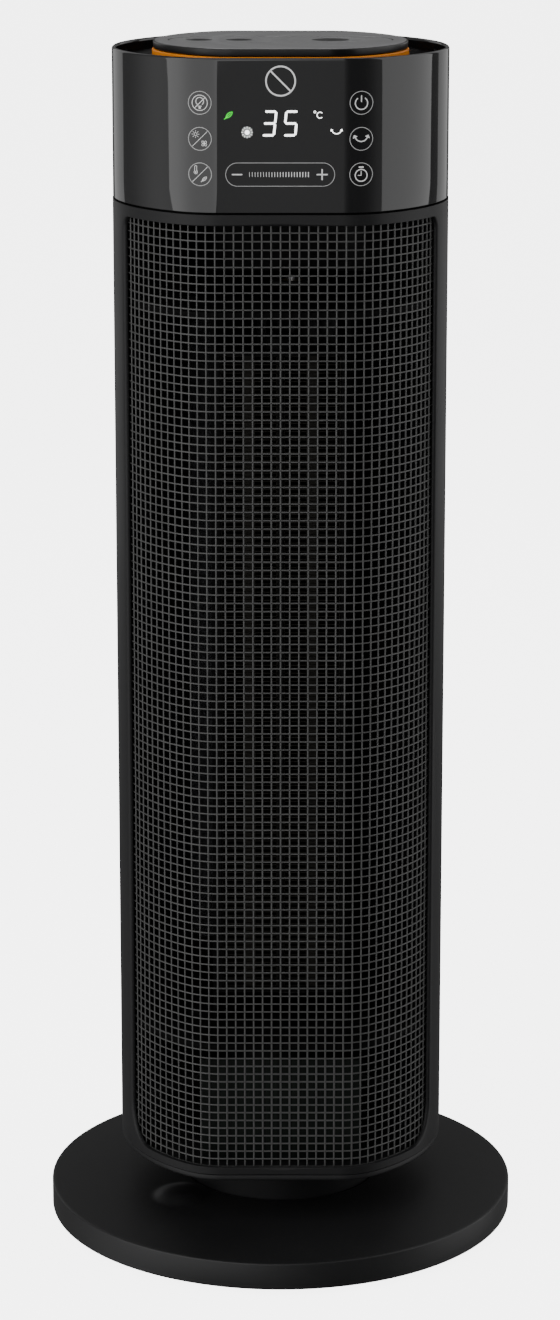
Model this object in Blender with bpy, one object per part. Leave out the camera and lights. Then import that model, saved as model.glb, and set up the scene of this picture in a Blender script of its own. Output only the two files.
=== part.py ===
"""Ceramic tower heater on a turning base, built from the pieces that it comes apart into on a bench.

Metres, +Z up. The origin is on the floor under the tower's axis, and the front faces -Y.
An azimuth is an angle about the tower's axis, 0 at the front and growing towards +X.
"""

import math

import bmesh
import bpy
from mathutils import Matrix, Vector

# Gaps between pieces
REST_GAP = 0.0003  # between two pieces that rest on, or are fixed to, each other
SHAFT_GAP = 0.0003  # all round a shaft or post that turns in a hole
BUTTON_GAP = 0.0003  # all round a button or plunger that slides in a hole
GEAR_BACKLASH = 0.00024  # taken off each gear tooth at its pitch circle
CUT_PAST = 0.0020  # how far a cutter runs past the face it cuts

# Facets of the round pieces
FINE_STEPS = 40
PLAIN_STEPS = 24
SMALL_STEPS = 16
TINY_STEPS = 10

# Base
BASE_RADIUS = 0.1226
BASE_EDGE_TOP = 0.0170  # height of the crease where the side meets the crowned top
BASE_CROWN = 0.0050  # how far the top rises from that crease to the neck
CROWN_POWER = 1.6  # 1 gives a cone, and a larger power a flatter middle
BASE_ROUNDING = 0.0010
BASE_WALL = 0.0025
BASE_PLATE = 0.0022
HUB_WIDTH = 0.0066  # thickened edge round the neck hole
HUB_DEPTH = 0.0054
FOOT_HEIGHT = 0.0030
FOOT_RADIUS = 0.0080
FOOT_MARGIN = 0.0226  # from the base's edge to the middle of a foot
FOOT_EDGE = 0.0008
FOOT_COUNT = 5
SCREW_MARGIN = 0.0106
SCREW_COUNT = 3
SCREW_SHANK = 0.0015
SCREW_HEAD = 0.0034
SCREW_HEAD_HEIGHT = 0.0017
SCREW_HEAD_EDGE = 0.0008
BOSS_WALL = 0.0022
BALLAST_INNER = 0.0620
BALLAST_MARGIN = 0.0166
BALLAST_HEIGHT = 0.0040
BALLAST_ROOM = 0.0015  # round the tip-over switch

# Tip-over switch, under the low dome on the base
TIP_TURN = math.radians(219.6)  # its direction from the tower's axis, from +X
TIP_MARGIN = 0.0004  # between the dome and the neck hole
DOME_RADIUS = 0.0155
DOME_RISE = 0.0035
PLUNGER_RADIUS = 0.0040
PLUNGER_COLLAR = 0.0060
PLUNGER_TRAVEL = 0.0035
PLUNGER_EDGE = 0.0008
PLUNGER_SLACK = 0.0002  # left under the collar at the end of its travel
PLUNGER_PIN = 0.0012
PIN_CLEARANCE = 0.0008  # between the pin's top and the can
PIN_HOLE = 0.0006  # for the switch wires, in the top of the can
COLLAR_HEIGHT = 0.0015
SWITCH_CAN_WALL = 0.0014
SPRING_WIRE = 0.0005
SPRING_RADIUS = 0.0030
SPRING_TURNS = 4

# Cord gland, at the back of the base
GLAND_HOLE = 0.0036
GLAND_WALL = 0.0015
GLAND_FLANGE = 0.0012
GLAND_LENGTH = 0.0110
GLAND_HEIGHT = 0.0092
GLAND_SINK = 0.0006  # its end lies this far inside the base's edge

# Neck and the swivel
NECK_RADIUS = 0.0510
NECK_WALL = 0.0025
NECK_FLOOR = 0.0027
POST_RADIUS = 0.0120
POST_BORE = 0.0090
POST_SHOULDER = 0.0180
POST_FLANGE = 0.0340
POST_FLANGE_HEIGHT = 0.0025
POST_RISE = 0.0120  # above the neck's floor
SHOULDER_MARGIN = 0.0020  # above the gear, and below the crown
WASHER_HEIGHT = 0.0015
GLIDE_HEIGHT = 0.0007
RETAINER_HEIGHT = 0.0030
RETAINER_WIDTH = 0.0080  # how far the retainer reaches inside the neck's outer face
RETAINER_LIP = 0.0055  # how far it reaches outside it, under the base cover
GEAR_MODULE = 0.0015
FIXED_TEETH = 32
PINION_TEETH = 10
GEAR_HEIGHT = 0.0056
PRESSURE_ANGLE = math.radians(25)
PINION_SHAFT = 0.0025
PINION_SHAFT_LENGTH = 0.0200
SWING_MOTOR_HEIGHT = 0.0165
SWING_MOTOR_GAP = 0.0010
SWING_MOTOR_EDGE = 0.0010

# Tower body
BODY_RADIUS = 0.0850
FLAT_DEPTH = 0.0097  # how far the flat front and back are cut into the round section
BLEND_RADIUS = 0.0320  # rounding between a flat and the round sides
BODY_BOTTOM = 0.0425
BODY_HEIGHT = 0.5012
BODY_WALL = 0.0020
TOWER_FLOOR = 0.0030
SPLIT_AZIMUTH = math.radians(95)  # where front and rear housings meet
WINDOW_AZIMUTH = math.radians(67)
WINDOW_SILL = 0.0041
WINDOW_LINTEL = 0.0056
WINDOW_TOP_CORNER = 0.0070
WINDOW_BOTTOM_CORNER = 0.0200
CORNER_SQUASH = 0.45  # a corner on the round side looks this much narrower from the front

# Front grille
GRILLE_GAP = 0.0006  # behind the housing, whose facets bulge inwards
GRILLE_THICKNESS = 0.0010
GRILLE_LAP = 0.0025  # how far the grille reaches under the housing
GRILLE_RIM = 0.0045
GRILLE_BAR = 0.0020
GRILLE_COLUMNS = 9
GRILLE_ROWS = 9

# Rear cover with its filter
REAR_HALF_WIDTH = 0.0520
REAR_BOTTOM = 0.1230
REAR_TOP_MARGIN = 0.0700
REAR_CORNER = 0.0080
REAR_RIM = 0.0060
REAR_BAR = 0.0035
REAR_COLUMNS = 5
REAR_ROWS = 11
REAR_FIT = 0.0004
FILTER_THICKNESS = 0.0008
FILTER_GAP = 0.0005

# Blower
MOTOR_BAY = 0.0665
HEAD_BAY = 0.0517
BULKHEAD = 0.0030
WIRE_PASS = (0.0050, 0.0150, 0.0100)  # radius, and distances beside the motor and behind the heater
BULKHEAD_FIT = 0.0015  # clears the grille, whose wide facets lie inside its true curve
FAN_X, FAN_Y = 0.0060, 0.0260
FAN_RADIUS = 0.0275
FAN_BLADES = 12
FAN_BLADE_DEPTH = 0.0085
FAN_BLADE_THICKNESS = 0.0010
FAN_BLADE_LEAN = math.radians(14)
FAN_RINGS = 4
FAN_RING_HEIGHT = 0.0016
FAN_END_GAP = 0.0035
FAN_SHAFT = 0.0030
FAN_SHAFT_EDGE = 0.0006
FAN_BLADE_INSET = 0.0008  # from the rings' edge to the blades'
FAN_BLADE_LAP = 0.0010  # how far the rings reach inside the blades
MOTOR_RADIUS = 0.0320
MOTOR_HEIGHT = 0.0440
MOTOR_EDGE = 0.0020
MOTOR_BOSS_HEIGHT = 0.0060
MOTOR_BOSS_LAP = 0.0030  # how far its boss reaches under the bulkhead
MOTOR_BOSS = 0.0120
MOTOR_SOCKET = 0.0240
SHAFT_END_GAP = 0.0010  # under the shaft, in its socket
DUCT_WALL = 0.0018
DUCT_CLEARANCE = 0.0020
DUCT_GROWTH = 0.0130
DUCT_START = math.radians(68)
DUCT_END = math.radians(-42)
TONGUE_TURN = math.radians(222)
TONGUE_CLEARANCE = 0.0010  # further from the wheel than the scroll
DUCT_LAP = 0.0040  # how far the duct's walls run beside the heater's frame
BUSH_RADIUS = 0.0065
BUSH_HEIGHT = 0.0070
BUSH_MOUNT_WALL = 0.0025

# Heater
HEATER_HALF_WIDTH = 0.0330
HEATER_DEPTH = 0.0150
HEATER_WALL = 0.0025
HEATER_END_MARGIN = 0.0200
HEATER_FRONT_MARGIN = 0.0290  # from the flat front back to the heater's front
FIN_PITCH = 0.0240
FIN_HEIGHT = 0.0160
CORE_HALF_WIDTH = 0.0040
PTC_SETBACK = 0.0015  # inside the heater frame's front and back
CUTOUT_RADIUS = 0.0075
CUTOUT_HEIGHT = 0.0080

# Boards and main switch
BOARD = 0.0016
POWER_BOARD_SETBACK = 0.0190
POWER_BOARD_HEIGHT = 0.0560
POWER_BOARD_HALF = 0.0420
POWER_BOARD_MARGIN = 0.0030
POWER_PARTS = (  # left and right as shares of half the board, bottom, top, depth
    (-0.85, -0.40, 0.0060, 0.0240, 0.0150),
    (-0.25, 0.20, 0.0060, 0.0240, 0.0150),
    (0.40, 0.90, 0.0080, 0.0300, 0.0180),
    (-0.80, 0.10, 0.0340, 0.0440, 0.0080),
)
CONTROL_BOARD_SETBACK = 0.0085
CONTROL_BOARD_MARGIN = 0.0070
CONTROL_BOARD_SIDE = 0.0025
CONTROL_BOARD_TOP = 0.0030
DISPLAY_WIDTH = 0.0480
DISPLAY_HEIGHT = 0.0260
SWITCH_WIDTH = 0.0150
SWITCH_HEIGHT = 0.0210
SWITCH_CENTRE = 0.0400  # above the tower's underside
SWITCH_RIM = 0.0020
SWITCH_DEPTH = 0.0150
ROCKER_THROW = math.radians(16)
ROCKER_GAP = 0.0005
ROCKER_SINK = 0.0035  # its axis lies this far inside the switch's face
ROCKER_RIDGE = 0.0032
ROCKER_BELLY = 0.0030

# Head
SEAM = 0.0010
HEAD_HEIGHT = 0.0749
HEAD_STEP = 0.0002  # the head is this much smaller all round than the body
HEAD_WALL = 0.0022
RIM_CREST = 0.0014
RECESS_DEPTH = 0.0086
TRAY = 0.0025
PLATE_RADIUS = 0.0640
PLATE_FLAT_DEPTH = 0.0077
PLATE_BLEND = 0.0240
PLATE_RISE = 0.0029  # above the head's rim
PLATE_THICKNESS = 0.0038
PLATE_EDGE = 0.0004
ACCENT_REACH = 0.0005
ACCENT_WALL = 0.0020

COLLAR_RISE = 0.0060  # how far the top deck's collar stands up inside the head
COLLAR_WALL = 0.0018
WIRE_HOLE = 0.0150

# Remote control, kept in a pocket of the top plate
REMOTE_LENGTH = 0.1120
REMOTE_WIDTH = 0.0380
REMOTE_HEIGHT = 0.0080
REMOTE_WALL = 0.0015
REMOTE_SKIN = 0.0012
REMOTE_BASE_HEIGHT = 0.0038
REMOTE_FIT = 0.0004
REMOTE_SINK = 0.0002  # its top lies this far below the plate's
REMOTE_BOARD = 0.0008
POCKET_WALL = 0.0016
CELL_RADIUS = 0.0100
CELL_HEIGHT = 0.0020
REMOTE_BUTTONS = (  # name, place along the remote, radius
    ("remote_button_dimmer", 0.0152 - REMOTE_LENGTH / 2, 0.0062),
    ("remote_button_mode", 0.0352 - REMOTE_LENGTH / 2, 0.0062),
    ("remote_button_power", REMOTE_LENGTH / 2 - 0.0309, 0.0092),
)
BUTTON_FLANGE = 0.0012
BUTTON_FLANGE_HEIGHT = 0.0008
BUTTON_DISH = 0.0005
BUTTON_EDGE = 0.0004
BUTTON_RIM = 0.0012

# Places in the base worked out from the sizes above
FOOT_CIRCLE = BASE_RADIUS - FOOT_MARGIN
SCREW_CIRCLE = BASE_RADIUS - SCREW_MARGIN
BALLAST_OUTER = BASE_RADIUS - BALLAST_MARGIN
NECK_HOLE = NECK_RADIUS + SHAFT_GAP * 2
TIP_DISTANCE = NECK_HOLE + DOME_RADIUS + TIP_MARGIN
TIP_X, TIP_Y = TIP_DISTANCE * math.cos(TIP_TURN), TIP_DISTANCE * math.sin(TIP_TURN)

# Heights worked out from the sizes above
BASE_PLATE_BOTTOM = FOOT_HEIGHT + REST_GAP
BASE_PLATE_TOP = BASE_PLATE_BOTTOM + BASE_PLATE
BASE_FLOOR = BASE_PLATE_TOP + REST_GAP  # what stands on the base plate starts here
CROWN_TOP = BASE_EDGE_TOP + BASE_CROWN
HUB_BOTTOM = CROWN_TOP - HUB_DEPTH
GLIDE_TOP = HUB_BOTTOM - REST_GAP
RETAINER_TOP = GLIDE_TOP - GLIDE_HEIGHT - REST_GAP
NECK_BOTTOM = RETAINER_TOP + REST_GAP
GEAR_BOTTOM = BASE_FLOOR + POST_FLANGE_HEIGHT + REST_GAP
GEAR_TOP = GEAR_BOTTOM + GEAR_HEIGHT
SHOULDER_TOP = max(CROWN_TOP - SHOULDER_MARGIN, GEAR_TOP + SHOULDER_MARGIN)
WASHER_BOTTOM = SHOULDER_TOP + REST_GAP
NECK_FLOOR_BOTTOM = WASHER_BOTTOM + WASHER_HEIGHT + REST_GAP
NECK_FLOOR_TOP = NECK_FLOOR_BOTTOM + NECK_FLOOR
FLOOR_TOP = BODY_BOTTOM + TOWER_FLOOR
HOUSING_BOTTOM = FLOOR_TOP + REST_GAP
HOUSING_TOP = BODY_BOTTOM + BODY_HEIGHT
WINDOW_BOTTOM = HOUSING_BOTTOM + WINDOW_SILL
WINDOW_TOP = HOUSING_TOP - WINDOW_LINTEL
LOWER_BULKHEAD_BOTTOM = FLOOR_TOP + MOTOR_BAY
LOWER_BULKHEAD_TOP = LOWER_BULKHEAD_BOTTOM + BULKHEAD
UPPER_BULKHEAD_BOTTOM = HOUSING_TOP - HEAD_BAY
UPPER_BULKHEAD_TOP = UPPER_BULKHEAD_BOTTOM + BULKHEAD
MOTOR_TOP = LOWER_BULKHEAD_BOTTOM - MOTOR_BOSS_HEIGHT
HEATER_BOTTOM = LOWER_BULKHEAD_TOP + HEATER_END_MARGIN
HEATER_TOP = UPPER_BULKHEAD_BOTTOM - HEATER_END_MARGIN
REAR_TOP = HOUSING_TOP - REAR_TOP_MARGIN
HEAD_BOTTOM = HOUSING_TOP + SEAM
HEAD_TOP = HEAD_BOTTOM + HEAD_HEIGHT
TRAY_TOP = HEAD_TOP - RECESS_DEPTH
PLATE_TOP = HEAD_TOP + PLATE_RISE
PLATE_BOTTOM = PLATE_TOP - PLATE_THICKNESS
REMOTE_TOP = PLATE_TOP - REMOTE_SINK
REMOTE_BOTTOM = REMOTE_TOP - REMOTE_HEIGHT
REMOTE_JOIN = REMOTE_BOTTOM + REMOTE_BASE_HEIGHT
POCKET_FLOOR = REMOTE_BOTTOM - REST_GAP

# Distances worked out from the sizes above
BODY_FLAT = BODY_RADIUS - FLAT_DEPTH
PLATE_FLAT = PLATE_RADIUS - PLATE_FLAT_DEPTH
BODY_SECTION = (BODY_RADIUS, BODY_FLAT, BLEND_RADIUS)
PLATE_SECTION = (PLATE_RADIUS, PLATE_FLAT, PLATE_BLEND)
NECK_INNER = NECK_RADIUS - NECK_WALL
GRILLE_INSET = BODY_WALL + GRILLE_GAP
INNER_INSET = GRILLE_INSET + GRILLE_THICKNESS + BULKHEAD_FIT
GEAR_DISTANCE = GEAR_MODULE * (FIXED_TEETH + PINION_TEETH) / 2
SWING_MOTOR_RADIUS = min(NECK_INNER - GEAR_DISTANCE, GEAR_DISTANCE - POST_RADIUS) - SWING_MOTOR_GAP
HEATER_FRONT = -(BODY_FLAT - HEATER_FRONT_MARGIN)
HEATER_BACK = HEATER_FRONT + HEATER_DEPTH

# Finishes: colour, roughness, metallic
FINISHES = {
    "matte_black": ((0.022, 0.022, 0.024), 0.55, 0.0),
    "gloss_black": ((0.012, 0.012, 0.013), 0.08, 0.0),
    "dark_grey": ((0.120, 0.120, 0.125), 0.38, 0.0),
    "mesh_grey": ((0.090, 0.090, 0.090), 0.45, 0.6),
    "orange": ((0.750, 0.240, 0.010), 0.35, 0.0),
    "natural_plastic": ((0.550, 0.540, 0.500), 0.50, 0.0),
    "rubber": ((0.015, 0.015, 0.015), 0.85, 0.0),
    "steel": ((0.450, 0.450, 0.460), 0.35, 1.0),
    "aluminium": ((0.720, 0.720, 0.730), 0.40, 1.0),
    "brass": ((0.700, 0.520, 0.240), 0.35, 1.0),
    "board_green": ((0.030, 0.160, 0.060), 0.50, 0.0),
    "filter_grey": ((0.060, 0.060, 0.065), 0.90, 0.0),
    "screen": ((0.030, 0.030, 0.035), 0.20, 0.0),
}


# Shapes in plan


def circle(radius, steps=PLAIN_STEPS, centre=(0.0, 0.0)):
    """Points of a circle, one of them straight to +X."""
    return [
        (centre[0] + radius * math.cos(turn), centre[1] + radius * math.sin(turn))
        for turn in (2 * math.pi * i / steps for i in range(steps))
    ]


def section_radius(azimuth, section, inset=0.0):
    """Distance from the axis to a round section with a flat front and back, its corners blended."""
    radius, flat, blend = (size - inset for size in section)
    turn = abs(math.remainder(azimuth, math.pi))
    centre_x = math.sqrt((radius - blend) ** 2 - (flat - blend) ** 2)
    centre_y = flat - blend
    if turn <= math.atan2(centre_x, flat):
        return flat / math.cos(turn)
    if turn >= math.atan2(centre_x, centre_y):
        return radius
    along = math.sin(turn) * centre_x + math.cos(turn) * centre_y
    return along + math.sqrt(along**2 - centre_x**2 - centre_y**2 + blend**2)


def section_azimuths(section, start=-math.pi, end=math.pi):
    """Azimuths from start to end, in order: the ends of each flat, its blends, and round the sides."""
    radius, flat, blend = section
    centre_x = math.sqrt((radius - blend) ** 2 - (flat - blend) ** 2)
    flat_end = math.atan2(centre_x, flat)
    round_start = math.atan2(centre_x, flat - blend)
    blend_steps, side_steps = 4, 5
    quarter = [flat_end + (round_start - flat_end) * i / blend_steps for i in range(blend_steps)]
    quarter += [
        round_start + (math.pi / 2 - round_start) * i / side_steps for i in range(side_steps)
    ]
    half = quarter + [math.pi / 2] + [math.pi - turn for turn in reversed(quarter)]
    around = [-turn for turn in reversed(half)] + half
    nearly = math.radians(1.5)
    inside = [turn for turn in around if start + nearly < turn < end - nearly]
    whole = end - start > 2 * math.pi - nearly
    return inside if whole else [start] + inside + [end]


def section_outline(section, inset=0.0, azimuths=None):
    points = []
    for turn in azimuths or section_azimuths(section):
        reach = section_radius(turn, section, inset)
        points.append((reach * math.sin(turn), -reach * math.cos(turn)))
    return points


def shell_outline(section, outer, inner, start, end, turned_by=0.0):
    """A length of wall between two insets, seen in plan. It can be turned by pi to face backwards."""
    stops = [turn + turned_by for turn in section_azimuths(section, start, end)]
    return section_outline(section, outer, stops) + section_outline(section, inner, stops)[::-1]


def window(half_width, low, high, corners, steps=4):
    """A rectangle with elliptical corners, each (across, up), from the lower left one round to the right."""
    middles = (
        (-half_width, low, 1, 1),
        (half_width, low, -1, 1),
        (half_width, high, -1, -1),
        (-half_width, high, 1, -1),
    )
    points = []
    for corner, (x, z, right, up) in enumerate(middles):
        across, rise = corners[corner]
        for i in range(steps + 1):
            turn = math.pi + math.pi / 2 * (corner + i / steps)
            points.append(
                (x + right * across + across * math.cos(turn), z + up * rise + rise * math.sin(turn))
            )
    return points


def pill(length, width, inset=0.0, steps=8):
    """A straight-sided slot shape with round ends, its length along X."""
    radius = width / 2 - inset
    reach = length / 2 - width / 2
    right = [-math.pi / 2 + math.pi * i / steps for i in range(steps + 1)]
    return [(reach + radius * math.cos(t), radius * math.sin(t)) for t in right] + [
        (-reach - radius * math.cos(t), -radius * math.sin(t)) for t in right
    ]


def rectangle(low, high):
    return [(low[0], low[1]), (high[0], low[1]), (high[0], high[1]), (low[0], high[1])]


def strip(points, thickness):
    """A wall of one thickness along a line of points, seen in plan."""
    left, right = [], []
    for i, point in enumerate(points):
        before = Vector(points[max(i - 1, 0)])
        after = Vector(points[min(i + 1, len(points) - 1)])
        along = (after - before).normalized()
        across = Vector((-along.y, along.x)) * thickness / 2
        left.append(tuple(Vector(point) + across))
        right.append(tuple(Vector(point) - across))
    return left + right[::-1]


def gear_outline(teeth, phase=0.0, centre=(0.0, 0.0)):
    """Involute teeth, the first one centred on the phase angle."""
    pitch = GEAR_MODULE * teeth / 2
    base = pitch * math.cos(PRESSURE_ANGLE)
    tip = pitch + 0.8 * GEAR_MODULE
    root = pitch - 1.1 * GEAR_MODULE
    half_tooth = math.pi / (2 * teeth) - GEAR_BACKLASH / 2 / pitch
    start = max(base, root)
    flank = [start + (tip - start) * i / 2 for i in range(3)]
    involute_at_pitch = math.tan(PRESSURE_ANGLE) - PRESSURE_ANGLE
    points = []
    for tooth in range(teeth):
        middle = phase + 2 * math.pi * tooth / teeth
        side = []
        for radius in flank:
            slope = math.acos(min(1.0, base / radius))
            turn = half_tooth + involute_at_pitch - (math.tan(slope) - slope)
            side.append((radius, turn))
        side.insert(0, (root, side[0][1]))
        for radius, turn in side:
            points.append((radius, middle - turn))
        for radius, turn in reversed(side):
            points.append((radius, middle + turn))
    return [
        (centre[0] + radius * math.cos(turn), centre[1] + radius * math.sin(turn))
        for radius, turn in points
    ]


def chord_half(distance, inset):
    """Half the width of the body, inside an inset, at a distance in front of or behind the axis."""
    return math.sqrt((BODY_RADIUS - inset) ** 2 - distance**2)


# Objects


def finish_material(name, finish):
    colour, roughness, metallic = FINISHES[finish]
    material = bpy.data.materials.new(name + "_finish")
    material.use_nodes = True
    shader = material.node_tree.nodes["Principled BSDF"]
    shader.inputs["Base Color"].default_value = (*colour, 1.0)
    shader.inputs["Roughness"].default_value = roughness
    shader.inputs["Metallic"].default_value = metallic
    return material


def pivot(name, location):
    """An empty on a joint's axis. The pieces that move with it are its children."""
    empty = bpy.data.objects.new(name + "_axis", None)
    empty.location = location
    bpy.context.scene.collection.objects.link(empty)
    return empty


def place(name, bm, finish, parent=None, cutter=False):
    """Makes the finished mesh an object. A child's mesh is shifted so that its origin is its parent's."""
    bmesh.ops.remove_doubles(bm, verts=bm.verts, dist=1e-7)
    bmesh.ops.recalc_face_normals(bm, faces=bm.faces)
    if parent:
        bmesh.ops.translate(bm, verts=bm.verts, vec=-Vector(parent.location))
    mesh = bpy.data.meshes.new(name)
    bm.to_mesh(mesh)
    bm.free()
    mesh.shade_smooth()
    mesh.set_sharp_from_angle(angle=math.radians(35))
    obj = bpy.data.objects.new(name, mesh)
    bpy.context.scene.collection.objects.link(obj)
    obj.parent = parent
    if cutter:
        obj.hide_render = True
        obj.display_type = "WIRE"
    else:
        mesh.materials.append(finish_material(name, finish))
    return obj


def add_stack(bm, loops, ring=False):
    """Joins loops of points one after another, and caps the ends or joins the last to the first."""
    rows = [[bm.verts.new(point) for point in loop] for loop in loops]
    pairs = list(zip(rows, rows[1:]))
    if ring:
        pairs.append((rows[-1], rows[0]))
    for low, high in pairs:
        for i in range(len(low)):
            j = (i + 1) % len(low)
            bm.faces.new((low[i], low[j], high[j], high[i]))
    if not ring:
        bm.faces.new(rows[0][::-1])
        bm.faces.new(rows[-1])


def stack(name, loops, finish, ring=False, parent=None, cutter=False):
    bm = bmesh.new()
    add_stack(bm, loops, ring)
    return place(name, bm, finish, parent, cutter)


def at_height(outline, height):
    return [(x, y, height) for x, y in outline]


def turned(
    name, profile, finish, steps=PLAIN_STEPS, centre=(0.0, 0.0), ring=False, parent=None, cutter=False
):
    """A round piece. Its profile is (radius, height) points, a closed one when it has a bore."""
    loops = [at_height(circle(radius, steps, centre), height) for radius, height in profile]
    return stack(name, loops, finish, ring, parent, cutter)


def tube(name, outer, inner, low, high, finish, steps=PLAIN_STEPS, centre=(0.0, 0.0), parent=None):
    profile = [(outer, low), (outer, high), (inner, high), (inner, low)]
    return turned(name, profile, finish, steps, centre, ring=True, parent=parent)


def sleeve(name, section, profile, finish, ring=True, parent=None):
    """A piece that follows a section all round. Its profile is (inset, height) points."""
    loops = [at_height(section_outline(section, inset), height) for inset, height in profile]
    return stack(name, loops, finish, ring, parent)


def plate_mesh(outlines, low, high):
    """A flat plate with holes: the first outline is its edge, and the others are its holes."""
    curve = bpy.data.curves.new("plate_outline", "CURVE")
    curve.dimensions = "2D"
    curve.fill_mode = "BOTH"
    curve.extrude = (high - low) / 2
    for outline in outlines:
        spline = curve.splines.new("POLY")
        spline.points.add(len(outline) - 1)
        for point, (x, y) in zip(spline.points, outline):
            point.co = (x, y, 0.0, 1.0)
        spline.use_cyclic_u = True
    guide = bpy.data.objects.new("plate_outline", curve)
    filled = bpy.data.meshes.new_from_object(guide)
    bm = bmesh.new()
    bm.from_mesh(filled)
    bpy.data.objects.remove(guide)
    bpy.data.meshes.remove(filled)
    bmesh.ops.translate(bm, verts=bm.verts, vec=(0.0, 0.0, (low + high) / 2))
    return bm


def plate(name, outlines, low, high, finish, parent=None, cutter=False):
    return place(name, plate_mesh(outlines, low, high), finish, parent, cutter)


def upright_plate(name, outlines, front, back, finish, parent=None, cutter=False):
    """A plate whose outlines are (x, z), between a front and a back."""
    bm = plate_mesh(outlines, -back, -front)
    bmesh.ops.rotate(bm, verts=bm.verts, matrix=Matrix.Rotation(math.pi / 2, 3, "X"))
    return place(name, bm, finish, parent, cutter)


def add_block(bm, low, high):
    outline = rectangle(low, high)
    add_stack(bm, [at_height(outline, low[2]), at_height(outline, high[2])])


def blocks(name, corners, finish, parent=None, cutter=False):
    """One or more rectangular blocks, each given by its lowest and highest corners."""
    bm = bmesh.new()
    for low, high in corners:
        add_block(bm, low, high)
    return place(name, bm, finish, parent, cutter)


def rods(name, centres, radius, low, high, steps=SMALL_STEPS):
    """A hidden set of upright rods, to cut or to join."""
    bm = bmesh.new()
    for centre in centres:
        outline = circle(radius, steps, centre)
        add_stack(bm, [at_height(outline, low), at_height(outline, high)])
    return place(name, bm, None, cutter=True)


def combine(obj, other, operation):
    other.hide_render = True
    other.display_type = "WIRE"
    modifier = obj.modifiers.new(operation.lower(), "BOOLEAN")
    modifier.operation = operation
    modifier.solver = "EXACT"
    modifier.object = other
    return obj


def spaced_spans(start, end, rim, bar, openings):
    """Stops from start to end: a rim, an opening, a bar, an opening and so on to a rim."""
    opening = (end - start - 2 * rim - bar * (openings - 1)) / openings
    stops = [start, start + rim]
    for i in range(openings):
        stops.append(stops[-1] + opening)
        stops.append(stops[-1] + (bar if i < openings - 1 else rim))
    return stops


def lattice(name, outer, thickness, azimuths, heights, finish, parent=None):
    """A curved panel whose odd spans both ways are openings."""
    bm = bmesh.new()
    skins = []
    for inset in (outer, outer + thickness):
        outline = section_outline(BODY_SECTION, inset, azimuths)
        skins.append([[bm.verts.new((x, y, z)) for z in heights] for x, y in outline])

    def solid(i, j):
        inside = 0 <= i < len(azimuths) - 1 and 0 <= j < len(heights) - 1
        return inside and not (i % 2 and j % 2)

    for i in range(len(azimuths) - 1):
        for j in range(len(heights) - 1):
            if not solid(i, j):
                continue
            corners = ((i, j), (i + 1, j), (i + 1, j + 1), (i, j + 1))
            for skin in skins:
                bm.faces.new([skin[a][b] for a, b in corners])
            neighbours = ((i, j - 1), (i + 1, j), (i, j + 1), (i - 1, j))
            for side, neighbour in enumerate(neighbours):
                if solid(*neighbour):
                    continue
                (a, b), (c, d) = corners[side], corners[(side + 1) % 4]
                bm.faces.new((skins[0][a][b], skins[1][a][b], skins[1][c][d], skins[0][c][d]))
    return place(name, bm, finish, parent)


# Base


def cover_height(radius, drop=0.0):
    """Height of the crowned top at a radius: a shallow arc that falls from the neck to the crease."""
    across = (radius - NECK_HOLE) / (BASE_RADIUS - NECK_HOLE)
    return BASE_EDGE_TOP + BASE_CROWN * (1 - across**CROWN_POWER) - drop


def ceiling_stops():
    """(radius, height) of the cover's underside, from its side in to its hub."""
    hub, side = NECK_HOLE + HUB_WIDTH, BASE_RADIUS - BASE_WALL
    return [(radius, cover_height(radius, BASE_WALL)) for radius in (side, (side + hub) / 2, hub)]


def ceiling_height(radius):
    """Height of the cover's underside at a radius, on the straight line between two of its stops."""
    side, middle, hub = ceiling_stops()
    outer, inner = (side, middle) if radius > middle[0] else (middle, hub)
    share = (radius - inner[0]) / (outer[0] - inner[0])
    return inner[1] + (outer[1] - inner[1]) * share


def screw_places():
    start = math.radians(45)
    turns = [start + 2 * math.pi * i / SCREW_COUNT for i in range(SCREW_COUNT)]
    return [(SCREW_CIRCLE * math.cos(turn), SCREW_CIRCLE * math.sin(turn)) for turn in turns]


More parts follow.
